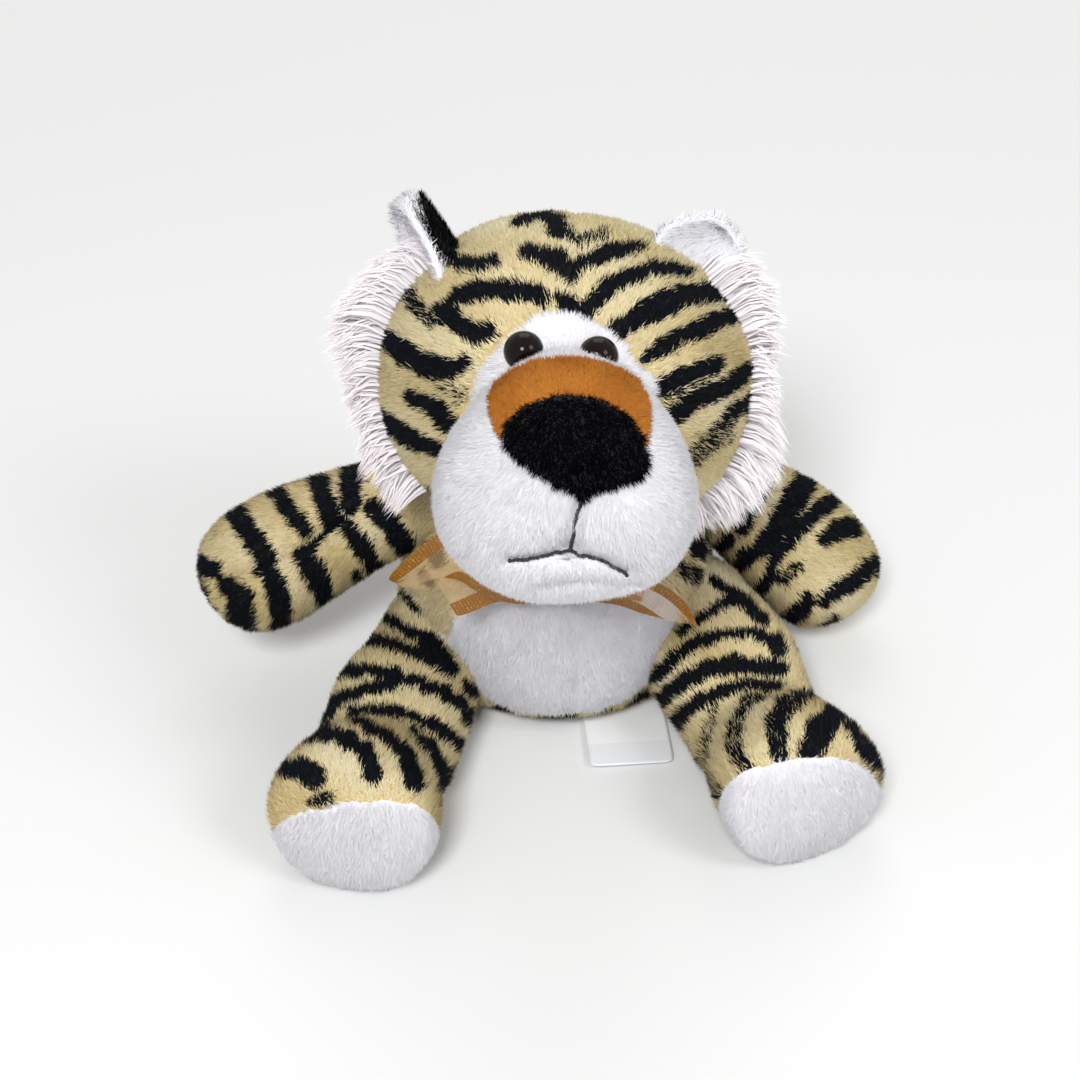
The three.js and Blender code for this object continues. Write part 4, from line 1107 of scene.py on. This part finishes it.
def head_dark(places, normals, dice=None):
    """The head's stripes, which stop where the ruffs are sewn on."""
    own = local(places, head_frame)
    aside, up, _ = (own / HEAD_HALVES).T
    ruffed = ease(-19, -14, own[:, 2]) * ease(5, 1, own[:, 2]) * ease(0.35, 0.5, np.abs(aside))
    ruffed = ruffed * ease(0.72, 0.62, up) * ease(-0.86, -0.74, up)
    return head_stripes_dark(places, normals, dice) * (1 - ruffed)


def head_ball():
    work = lofted(ball_rings(*HEAD_HALVES, 12, 0.92), 190, 8)
    push(work, -BACKING_DEPTH)
    return work


def make_head():
    work = head_ball()
    places = places_of(work)[0]
    seam = np.exp(-((places[:, 0] / 1.3) ** 2)) * ease(6, 14, places[:, 1])
    push(work, -0.8 * seam)
    lumps(work, 24, 0.45, 8)
    work.transform(head_frame)
    rest_on_floor(work, HEAD_BOTTOM)

    def bare(places, normals):
        return ~on_brow(places, normals) & ~in_snout(places, 0.3) & (places[:, 2] > HEAD_BOTTOM + 1)

    nose = head_frame @ Vector((0, -8, HEAD_DEPTH / 2 + 10))
    make_striped(
        work, "head_skin", "head", ["head_cover", "head_stuffing"], 0.9, head_dark,
        nap_from(nose, 0.25), bare, seed=9,
    )


def snout_form():
    rings = [(s * SNOUT_REACH, w * SNOUT_WIDTH / 2, t * SNOUT_HEIGHT / 2) for s, w, t in snout_shares]
    work = lofted(rings, 120, 6, SNOUT_TAPER)
    bmesh.ops.translate(work, vec=(0, -SNOUT_DROP, 0), verts=work.verts)
    push(work, -BACKING_DEPTH)
    return work


def brow_form():
    """The part of the head's ball that is white in the photograph, as a thick plate."""
    work = head_ball()
    push(work, 0.35)
    places = places_of(work)[0]
    own = np.array(head_frame)
    shown = within(in_photo(places @ own[:3, :3].T + own[:3, 3]), brow_outline) & (places[:, 2] > 8)
    for vert, stays in zip(list(work.verts), shown):
        if not stays:
            work.verts.remove(vert)
    thicken(work, 6)
    return work


def face_form():
    """The snout and the brow, melted into one form."""
    work = snout_form()
    add_to(work, brow_form())
    block = show("face_block", mesh_of(work, "face_block"))
    remesh = block.modifiers.new("remesh", "REMESH")
    remesh.mode, remesh.voxel_size = "VOXEL", 1.0
    smooth = block.modifiers.new("smooth", "SMOOTH")
    smooth.factor, smooth.iterations = 0.5, 8
    whole = bpy.data.meshes.new_from_object(block.evaluated_get(bpy.context.evaluated_depsgraph_get()))
    bpy.data.objects.remove(block)
    work = bmesh.new()
    work.from_mesh(whole)
    return work


def face_bare(places, normals):
    """Where the face's pile grows: not under the patches, along the mouth's thread or inside the head."""
    pixels = in_photo(places)
    covered = within(pixels, nose_outline) | within(pixels, bridge_outline)
    for line in mouth_lines.values():
        covered |= off_line(pixels, line) < 2.4
    covered &= (facing(places, normals) > 0) & (local(places, head_frame)[:, 2] > FACE_AHEAD)
    inside = in_head(places, -1.6) | (~in_snout(places, 3.5) & ~on_brow(places, normals))
    return ~covered & ~inside & (places[:, 2] > HEAD_BOTTOM + 1)


def make_face():
    work = face_form()
    work.transform(head_frame)
    lumps(work, 22, 0.4, 14)
    for line in mouth_lines.values():
        groove(work, line, 1.4, 4.5)
        groove(work, line, 1.1, 15)
    groove(work, chin_fold, 0.9, 6)
    rest_on_floor(work, HEAD_BOTTOM + 0.3)
    nose = head_frame @ Vector((0, 0, SNOUT_REACH - 4))
    return make_plush(
        work, "face_skin", "head", "white", ["face_panel"], 0.9, plain_tone(0.22, 0.16), nap_from(nose, 0.5),
        face_bare, density=1.3, seed=15, **WHITE_PILE,
    )


def make_patch(face, node, name, plush, seen, rise, nap, tone, length):
    """The nose or the bridge: a plush patch sewn on the face."""

    def inside(places, normals):
        ahead = local(places, head_frame)[:, 2] > FACE_AHEAD
        return (facing(places, normals) > 0.05) & ahead & seen(in_photo(places))

    make_plush(
        lift_patch(face, inside, rise, 0.8), name, "head", plush, [node], 0.7, tone, nap_towards(nap),
        lambda places, normals: facing(places, normals) > -0.1,
        length=length, width=0.24, lift=40, density=1.5, seed=21, unruly=0.5,
    )


def make_nose(face):
    def seen(pixels):
        return within(pixels, nose_outline)

    tone = plain_tone(0.3, 0.2)
    make_patch(face, "nose", "nose_skin", "black", seen, 1.5, (0, 0.1, -1), tone, 1.7)


def make_bridge(face):
    def seen(pixels):
        return within(pixels, bridge_outline) & ~within(pixels, nose_outline)

    tone = plain_tone(0.45, 0.18)
    make_patch(face, "nose_bridge", "bridge_skin", "orange", seen, 1.2, (0, 0.5, -0.6), tone, 1.3)


def nearest_on(piece, pixel):
    """Where the line of sight through a pixel meets a piece, with its normal there, in millimetres."""
    start = camera_place * MM
    end = seen_at(*pixel, -200) * MM
    hit, place, normal, _ = piece.ray_cast(start, (end - start).normalized())
    return (place / MM, normal) if hit else (None, None)


def make_stitch(a, b, out, lean):
    """One stitch between two places, turned a little across its line."""
    way = b - a
    work = sphere(8, 8, 0.5)
    bmesh.ops.scale(work, vec=(0.9, 0.9, way.length * 1.25), verts=work.verts)
    along = (way.normalized() + way.cross(out).normalized() * lean).normalized()
    side = along.cross(out).normalized()
    work.transform(frame_at((a + b) / 2, side, along.cross(side), along))
    return work


def make_mouth(face):
    """A sewn thread along the mouth's lines: short stitches laid in their crease."""
    work = bmesh.new()
    for line in mouth_lines.values():
        dense = []
        for start, end in zip(line[:-1], line[1:]):
            dense += [tuple(Vector(start).lerp(Vector(end), i / 4)) for i in range(4)]
        spots = [nearest_on(face, pixel) for pixel in [*dense, line[-1]]]
        spots = [(place + 0.7 * normal, normal) for place, normal in spots if place]
        for i, ((a, out), (b, _)) in enumerate(zip(spots[:-1], spots[1:])):
            add_to(work, make_stitch(a, b, out, 0.16 if i % 2 else -0.16))
    mouth = make_piece(work, "mouth_thread", "head", thread)
    stands_for(mouth, "thread", "mouth_stitch")


def make_eye(name, side):
    across = side * EYE_SPACING / 2 - FACE_ASIDE
    share = 1 - (2 * across / HEAD_WIDTH) ** 2 - (2 * EYE_RAISE / HEAD_HEIGHT) ** 2
    seat = Vector((across, EYE_RAISE, math.sqrt(share) * HEAD_DEPTH / 2))
    out = Vector((across / HEAD_WIDTH, EYE_RAISE / HEAD_HEIGHT, seat.z / HEAD_DEPTH)).normalized()
    work = sphere(40, 24, EYE_DIAMETER / 2)
    for vert in work.verts:
        vert.co.z *= 0.55 if vert.co.z < 0 else EYE_DOME * 2 / EYE_DIAMETER
    bmesh.ops.recalc_face_normals(work, faces=work.faces)
    work.transform(head_frame @ Matrix.Translation(seat) @ out.to_track_quat("Z", "Y").to_matrix().to_4x4())
    eye = make_piece(work, f"eye_dome_{name}", "head", eye_plastic)
    stands_for(eye, "eye_plastic", f"eye_{name}")


# ---------------------------------------------------------------- ruffs and ears

RUFF_TUFTS, TUFT_FIBRES, RUFF_LEVELS = 170, 58, 4
RUFF_TOP = 46  # degrees above the head's side
ruff_spans = {"left": 98, "right": 88}  # degrees from there down the side of the head


def ruff_tuft(name, side, share, dice):
    """One tuft in the head's frame: its fibres' places from root to tip, their tones and their shading."""
    half = HEAD_HALVES - BACKING_DEPTH
    angle = math.radians(RUFF_TOP - ruff_spans[name] * share)
    back = dice.uniform(-15, 3)
    girth = math.sqrt(max(0.05, 1 - (back / half[2]) ** 2))
    aside = np.array((side * math.cos(angle), math.sin(angle), 0))
    root = aside * half * girth + (0, 0, back)
    out = unit((aside + (0, 0, 0.012 * back))[None])[0]
    reach = 10.5 + 3.5 * math.sin(9 * share + side) + dice.uniform(-1.5, 2)
    reach *= 1 - 0.4 * float(ease(0.6, 1.0, share))
    fall = np.array((0, -0.55 - 0.35 * share, 0.1 * dice.normal()))
    aim = root + out * reach + fall * reach * 0.55 + np.array((0, 0, 1)) * dice.normal() * 1.2
    spread = dice.normal(size=(TUFT_FIBRES, 3)) * (1.5, 2.1, 2.2)
    spread -= (spread @ out)[:, None] * out
    starts = root + spread
    ends = aim + spread * 0.28 + dice.normal(size=(TUFT_FIBRES, 3)) * 0.55
    bend = starts + out * reach * 0.5 + np.array((0, 0.12, 0.05)) * reach
    ends = starts + (ends - starts) * dice.uniform(0.72, 1.05, TUFT_FIBRES)[:, None]
    steps = np.arange(RUFF_LEVELS) / (RUFF_LEVELS - 1)
    places = [(1 - t) ** 2 * starts + 2 * t * (1 - t) * bend + t * t * ends for t in steps]
    tones = np.clip(0.18 + 0.3 * dice.uniform() + 0.1 * dice.normal(size=TUFT_FIBRES), 0, 1)
    lit = unit(0.7 * out[None] + 0.15 * dice.normal(size=(TUFT_FIBRES, 3)) + np.array((0, 0.3, 0.9)))
    return places, tones, lit


def make_ruff(name, side):
    """Long pile down one side of the head, in tufts."""
    dice = np.random.default_rng(60 + side)
    tufts = []
    for tuft in range(RUFF_TUFTS):
        share = (tuft + dice.uniform(-0.4, 0.4)) / RUFF_TUFTS
        tufts.append(ruff_tuft(name, side, share, dice))
    places, tones, lit = zip(*tufts)
    own = np.array(head_frame)[:3, :3]
    middles = [np.concatenate(level) @ own.T + np.array(HEAD_MIDDLE) for level in zip(*places)]
    shading = unit(np.concatenate(lit) @ own.T)
    way = unit(middles[-1] - middles[0])
    flank = unit(np.cross(way, shading) + 0.15 * dice.normal(size=way.shape))
    rows = []
    for level, middle in enumerate(middles[:-1]):
        half = flank * 0.3 * (1 - 0.2 * level)
        rows.append((middle - half, middle + half))
    ruff = fibre_mesh(
        f"ruff_pile_{name}", [*rows, middles[-1]], np.concatenate(tones), shading, ruff_pile, "head"
    )
    stands_for(ruff, "long_pile", f"ruff_{name}")


ear_shapes = {
    # width, height beyond the head, its opening's turn to the side, its cup's depth
    "left": (22, 9.5, 8, 3.6),
    "right": (22, 13.0, 72, 8.5),
}
EAR_ROOT = 5  # how far the blade goes on inside the head


def ear_frame(name, side):
    opening = ear_shapes[name][2]
    spread = degrees(EAR_SPREAD)
    up = Vector((side * math.sin(spread), math.cos(spread), 0))
    seat = Vector((up.x * HEAD_WIDTH / 2, up.y * HEAD_HEIGHT / 2, EAR_FORWARD))
    along = Vector((0, 0, 1))
    return head_frame @ frame_at(seat, up.cross(along), up, along) @ turn(side * opening, "Y")


def ear_blade(name, lift, thickness):
    """A cupped blade with a round tip, of one thickness."""
    wide, tall, _, cup = ear_shapes[name]
    work = bmesh.new()
    bmesh.ops.create_grid(work, x_segments=34, y_segments=26, size=1)
    for vert in work.verts:
        u, v = vert.co.x, (vert.co.y + 1) / 2
        half = wide / 2 * (1 - v**3.2) ** 0.5 * (0.86 + 0.14 * math.sin(math.pi * min(1, v * 1.4)))
        rise = cup * (u * u) * (1 - 0.45 * v) - 1.2 * v + lift
        vert.co = (u * max(half, 0.05), v * (tall + EAR_ROOT) - EAR_ROOT, rise)
    bmesh.ops.remove_doubles(work, verts=work.verts, dist=0.12)
    in_order(work)
    bmesh.ops.recalc_face_normals(work, faces=work.faces)
    work.normal_update()
    if sum(face.normal.z for face in work.faces) * lift < 0:
        bmesh.ops.reverse_faces(work, faces=work.faces)
    thicken(work, thickness)
    bmesh.ops.recalc_face_normals(work, faces=work.faces)
    return work


def make_ear(name, side):
    own = ear_frame(name, side)
    tip = np.array(own.to_3x3() @ Vector((0, 1, 0)))
    forward = np.array(own.to_3x3() @ Vector((0, 0, 1)))
    for layer, sign, plush, length in (("front", 1, "white", 2.4), ("back", -1, "black", 1.7)):
        work = ear_blade(name, 0.9 * sign, 1.2)
        work.transform(own)

        def bare(places, normals, sign=sign):
            return ((normals * forward).sum(axis=1) * sign > -0.35) & ~in_head(places, -2.5)

        make_plush(
            work, f"ear_{layer}_skin_{name}", f"ear_{name}", plush, [f"ear_{layer}_{name}"], None,
            plain_tone(0.3, 0.2), nap_towards(tip * 0.9 - forward * 0.2 * sign), bare,
            length=length, width=0.3, density=1.4, seed=33 + side,
        )


# ---------------------------------------------------------------- limbs and tail

INTO_TORSO = -2.5  # how deep inside the torso a limb's pile ends
arm_stripes = {"left": left_arm_stripes, "right": right_arm_stripes}
leg_stripes = {"left": left_leg_stripes, "right": right_leg_stripes}
# Where each sole's seam runs: how far along the leg, and how that grows with the height and across the foot
sole_seams = {"left": (61.9, 0.08, 0.22), "right": (62.9, 0.22, -0.21)}


def bend_over(work, angle, length):
    """Bends what lies beyond z = 0 towards -X."""
    curve = length / degrees(angle)
    for vert in work.verts:
        if vert.co.z > 0:
            swing, reach = vert.co.z / curve, curve + vert.co.x
            vert.co.x, vert.co.z = reach * math.cos(swing) - curve, reach * math.sin(swing)


def make_arm(name, side):
    own = arm_frames[name]
    rings = end_rings(SHOULDER_RADIUS)
    rings += [(s * ARM_LENGTH, w * ARM_WIDTH / 2, t * ARM_THICKNESS / 2) for s, w, t in arm_shares]
    work = lofted(rings, 84, 6)
    push(work, -BACKING_DEPTH)
    lumps(work, 20, 0.5, 50 + side)
    bend_over(work, arm_bends[name], ARM_LENGTH)
    work.transform(own)
    if name == "right":
        groove(work, arm_seam, 1.8, 4.5)
    rest_on_floor(work)

    def across(places):
        spot = local(places, own)
        return spot[:, 2] - 0.25 * spot[:, 0]

    def bare(places, normals):
        return ~in_torso(places, INTO_TORSO) & (local(places, own)[:, 2] > -SHOULDER_RADIUS * 0.7)

    make_striped(
        work, f"arm_skin_{name}", f"arm_{name}", [f"arm_cover_{name}", f"arm_stuffing_{name}"], 0.8,
        stripes_over(arm_stripes[name], across, 11, 51 + side),
        nap_towards(own.to_3x3() @ Vector((-0.3 * side, 0, 1))), bare, seed=53 + side,
    )


def leg_rings(hip):
    """The leg from its hip's ball to the bulge of its sole. The hip's girth shrinks towards its underside."""
    lean = math.tan(degrees(SOLE_LEAN))
    rings = [(*ring, 0, 0) for ring in end_rings(HIP_RADIUS)]

    def add(z, wide, tall, tip, rise):
        rings.append((z, wide / 2, tall / 2, tall / 2 + rise - HIP_RADIUS, tip * lean))

    for s, w, t, tip in thigh_shares:
        add(s * LEG_LENGTH, w * THIGH_WIDTH, t * 2 * HIP_RADIUS, tip, 0)
    for s, w, t, tip in foot_shares:
        add(s * LEG_LENGTH, w * FOOT_WIDTH, t * FOOT_HEIGHT, tip, (1 - t) * FOOT_HEIGHT / 4)
    for s, girth in sole_shares:
        rise = (1 - girth) * FOOT_HEIGHT / 2
        add(LEG_LENGTH + s * SOLE_BULGE, girth * FOOT_WIDTH, girth * FOOT_HEIGHT, 1, rise)
    slimmed = []
    for z, a, b, y, leaning in rings:
        girth = hip + (1 - hip) * float(ease(0.1, 0.5, z / LEG_LENGTH))
        slimmed.append((z, a * girth, b * girth, 0, y - b * (1 - girth), leaning))
    return slimmed


def beyond_seam(name, side, places, margin=0.0):
    """Which places are on the sole."""
    spot = local(places, leg_frames[name])
    start, rise, tilt = sole_seams[name]
    wobble = 0.3 * ripple(places, 9, 67 + side)
    return spot[:, 2] > start + rise * spot[:, 1] + tilt * spot[:, 0] + wobble + margin


def make_leg(name, side):
    own = leg_frames[name]
    work = lofted(leg_rings(hip_girths[name]), 100, 6)
    push(work, -BACKING_DEPTH)
    lumps(work, 20, 0.5, 60 + side)
    work.transform(own)
    rest_on_floor(work)

    def bare(places, normals):
        cover = ~beyond_seam(name, side, places, 0.2) & ~in_torso(places, INTO_TORSO)
        return cover & (places[:, 2] > PILE_ON_SKIN)

    return make_striped(
        work, f"leg_skin_{name}", f"leg_{name}", [f"leg_cover_{name}", f"leg_stuffing_{name}"], 0.85,
        stripes_over(leg_stripes[name], lambda places: local(places, own)[:, 2], 10.5, 61 + side),
        nap_towards(own.to_3x3() @ Vector((0, 0.5, -1))), bare, seed=63 + side,
    )


def make_sole(name, side, leg):
    work = lift_patch(leg, lambda middles, normals: beyond_seam(name, side, middles), 0.4, 0.4)
    away = np.array(leg_frames[name].to_3x3() @ Vector((0, 0, 1)))
    make_plush(
        work, f"sole_skin_{name}", f"leg_{name}", "white", [f"sole_{name}"], 0.85, plain_tone(0.25, 0.18),
        nap_towards((0, -0.2, -1)), lambda places, normals: (normals @ away > -0.2) & (places[:, 2] > 1),
        density=1.25, seed=65 + side, **WHITE_PILE,
    )


def make_tail():
    rings = end_rings(TAIL_ROOT_RADIUS, 4)
    drop = TAIL_ROOT.z + BASE_CUT - TAIL_DIAMETER / 2
    for s, girth, aside, down in tail_shares:
        half = girth * TAIL_DIAMETER / 2
        rings.append((s * TAIL_LENGTH, half, half, aside * TAIL_CURL, down * drop))
    work = lofted(rings, 40, 5)
    push(work, -BACKING_DEPTH)
    work.transform(tail_frame)
    rest_on_floor(work)
    make_striped(
        work, "tail_skin", "tail", ["tail_cover", "tail_stuffing"], 0.8,
        stripes_over([], lambda places: places[:, 1], 9, 81, nowhere), nap_towards((0.25, 1, 0)),
        lambda places, normals: ~in_torso(places, INTO_TORSO) & (places[:, 2] > 1), seed=83,
    )


# ---------------------------------------------------------------- ribbon and label

COLLAR_STEPS = 72
KNOT_MIDDLE = Vector((0, -23.4, 50.3))
KNOT_LENGTH, KNOT_DEPTH, KNOT_HEIGHT = 4.6, 3.2, 4.2  # from its middle
LABEL_ASIDE, LABEL_FRONT, LABEL_WIDTH, LABEL_LENGTH = 14, 48, 21, 24
LABEL_THICKNESS = 0.25
LABEL_STEPS = 8

# Each strip of the bow: the solid it stands for, its flat length, how it is held, and its rows of two edges.
# An edge is its pixel and how far forward it lies. Where a part of the ribbon's width is tucked away, its row
# ends with the shares of the width that lie between its edges.
bow_strips = {
    "loop_right": ("bow_loop_right", 76, "folded", [
        ((575, 575, -30), (580, 601, -33)),
        ((536, 562, -33), (538, 605, -38)),
        ((505, 553, -36), (508, 604, -39)),
        ((480, 544, -38), (484, 597, -39.5)),
        ((458, 533, -38), (471, 588, -39.5)),
        ((440, 530, -38), (461, 580, -39), 0, 0.95),
        ((414, 551, -38), (440, 576, -38), 0, 0.68),
        ((394, 570, -38), (416, 586, -38), 0, 0.6),
        ((385, 582, -38), (398, 588, -37), 0, 0.6),
        ((402, 582, -35), (424, 590, -34), 0.3, 0.7),
        ((450, 560, -32), (470, 588, -32), 0.3, 0.7),
        ((520, 560, -29), (530, 585, -29), 0.3, 0.7),
    ]),
    "tail_right": ("ribbon_tail_right", 29, "hung", [
        ((575, 585, -31), (590, 603, -33), 0.3, 1),
        ((525, 574, -33), (536, 602, -36), 0.3, 1),
        ((490, 566, -34.5), (503, 599, -37.5), 0.3, 1),
        ((462, 566, -35), (486, 606, -38), 0.3, 1),
        ((436, 581, -35.5), (458, 618, -38.5), 0.3, 1),
    ]),
    "loop_left": ("bow_loop_left", 30, "folded", [
        ((575, 565, -26), (575, 592, -27)),
        ((610, 562, -29), (606, 596, -30)),
        ((640, 572, -30), (634, 600, -31)),
        ((652, 586, -30), (646, 603, -30), 0.2, 0.8),
        ((640, 576, -28), (634, 598, -28), 0.2, 0.8),
        ((590, 560, -26), (590, 588, -26), 0.2, 0.8),
    ]),
    "tail_left": ("ribbon_tail_left", 24, "hung", [
        ((588, 570, -32), (588, 602, -35)),
        ((630, 571, -35), (619, 604, -37)),
        ((657, 581, -36), (636, 612, -38)),
        ((678, 594, -37), (652, 616, -39), 0, 0.85),
        ((691, 609, -38), (670, 621, -40), 0, 0.7),
        ((698, 627, -38), (689, 624, -40), 0, 0.6),
    ]),
}


def map_cloth(work, spot_of):
    layer = work.loops.layers.uv.new(CLOTH_MAP)
    for face in work.faces:
        for loop in face.loops:
            loop[layer].uv = spot_of(loop.vert)


def strip(name, rows, across, finish):
    """A strip of cloth through rows of two edges, with a map that runs across and along it."""
    rows = [(*row, 0, 1)[:4] for row in rows]
    work = bmesh.new()
    bmesh.ops.create_grid(work, x_segments=across, y_segments=len(rows) - 1, size=1)
    length = [0.0]
    for (a, b, *_), (c, d, *_) in zip(rows[:-1], rows[1:]):
        length.append(length[-1] + ((c + d) / 2 - (a + b) / 2).length)
    spots = {}
    for vert in work.verts:
        share, row = (vert.co.x + 1) / 2, round((vert.co.y + 1) / 2 * (len(rows) - 1))
        low, high, start, end = rows[row]
        spots[vert] = (start + (end - start) * share, length[row] / 120)
        vert.co = low.lerp(high, share)
    map_cloth(work, spots.get)
    piece = make_piece(work, name, "torso", finish)
    smooth = piece.modifiers.new("smooth", "SUBSURF")
    smooth.levels = smooth.render_levels = 2
    return piece


def make_collar():
    rows = []
    for i in range(COLLAR_STEPS + 1):
        angle = 2 * math.pi * i / COLLAR_STEPS
        pleat = 0.5 * (math.sin(13 * angle) + 0.4 * math.sin(29 * angle))
        way = Vector((math.sin(angle), math.cos(angle), 0))
        top = NECK_MIDDLE + way * (NECK_RADIUS + 1.4) + Vector((0, 0, -0.5))
        brim = NECK_MIDDLE + way * (NECK_RADIUS + 6.9 + pleat) + Vector((0, 0, -4.9 + pleat))
        rows.append((top, brim))
    collar = strip("collar_band", rows, 6, ribbon)
    stands_for(collar, "ribbon", "ribbon_collar")
    return collar


def make_knot():
    work = lofted(ball_rings(KNOT_LENGTH, KNOT_DEPTH, KNOT_HEIGHT, 8, 0.7), 28, 2)
    places, _ = places_of(work)
    angle = np.arctan2(places[:, 1], places[:, 0])
    push(work, 0.35 * np.cos(9 * angle) * ease(0, 2, np.abs(places[:, 0])))
    map_cloth(work, lambda vert: ((vert.co.z + KNOT_HEIGHT) / (2 * KNOT_HEIGHT), vert.co.x / 60))
    bmesh.ops.translate(work, vec=KNOT_MIDDLE, verts=work.verts)
    knot = make_piece(work, "ribbon_knot", "torso", ribbon)
    stands_for(knot, "ribbon", "bow_knot")
    return knot


def make_ribbon():
    collar, knot = make_collar(), make_knot()
    for name, (node, length, held, edges) in bow_strips.items():
        rows = [(seen_at(*first), seen_at(*second), *shares) for first, second, *shares in edges]
        bow = strip(f"organza_{name}", rows, 8, ribbon)
        stands_for(bow, "ribbon", node)


def make_label():
    rows = []
    for i in range(LABEL_STEPS + 1):
        share = i / LABEL_STEPS
        y = share * LABEL_LENGTH - LABEL_FRONT
        lift = 0.5 + 0.9 * math.sin(2.4 * share + 0.5) * (1 - share)
        near = Vector((LABEL_ASIDE - LABEL_WIDTH / 2, y, lift + 0.5 * (1 - share)))
        rows.append((near, Vector((LABEL_ASIDE + LABEL_WIDTH / 2, y, lift))))
    label = strip("label_tape", rows, 6, label_tape)
    wall = label.modifiers.new("wall", "SOLIDIFY")
    wall.thickness, wall.offset = LABEL_THICKNESS * MM, 0
    stands_for(label, "label_tape", "care_label")


# ---------------------------------------------------------------- room

LAMPS_AIM = Vector((0, 0, 0.06))
# Each lamp's place and size, in metres, and its power in watts
lamps = {
    "window": ((-0.3, -0.83, 1.1), 0.36, 13.0),
    "lamp": ((0.7, -0.5, 0.9), 0.4, 3.6),
    "back_lamp": ((0.1, 0.8, 0.9), 0.7, 3.0),
}


def make_floor():
    work = bmesh.new()
    bmesh.ops.create_grid(work, x_segments=1, y_segments=1, size=4)
    mesh = mesh_of(work, "floor")
    mesh.materials.append(floor_finish())
    show("floor", mesh)


def make_lamps():
    for name, (place, size, power) in lamps.items():
        data = bpy.data.lights.new(name, "AREA")
        data.size, data.energy = size, power
        lamp = show(name, data)
        lamp.location = place
        lamp.rotation_euler = (Vector(place) - LAMPS_AIM).to_track_quat("Z", "Y").to_euler()


# ---------------------------------------------------------------- the tiger

ruff_pile = pile_finish("long_white_pile", ruff_stops, 0.9)
eye_plastic = eye_finish()
washer_plastic = washer_finish()
thread = thread_finish()
ribbon = ribbon_finish()
label_tape = label_finish()
# Each plush cloth's slot, its backing and its pile
plushes = {
    "striped": (
        "striped_plush", striped_backing_finish(),
        pile_finish("striped_pile", striped_stops, 0.85, gloss=0.08),
    ),
    "white": (
        "white_plush", backing_finish("white_backing", paint(250, 247, 249), paint(244, 239, 242)),
        pile_finish("white_pile", white_stops, 0.96),
    ),
    "orange": (
        "orange_plush", backing_finish("orange_backing", paint(190, 116, 42), paint(172, 98, 32)),
        pile_finish("orange_pile", orange_stops, 0.85),
    ),
    "black": (
        "black_plush", backing_finish("black_backing", paint(4, 4, 7), paint(9, 9, 13)),
        pile_finish("black_pile", black_stops, 0.6, gloss=0.03),
    ),
}

make_belly(make_torso())
make_neck()
make_head()
face_skin = make_face()
make_nose(face_skin)
make_bridge(face_skin)
make_mouth(face_skin)
for name, side in SIDES.items():
    make_eye(name, side)
for name, side in SIDES.items():
    make_ruff(name, side)
    make_ear(name, side)
    make_arm(name, side)
    make_sole(name, side, make_leg(name, side))
    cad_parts[f"eye_washer_{name}"].data.materials[0] = washer_plastic
make_tail()
make_ribbon()
make_label()

make_camera()
make_floor()
make_lamps()
bpy.context.scene.world = room_light()
bpy.context.scene.view_settings.view_transform = "Standard"
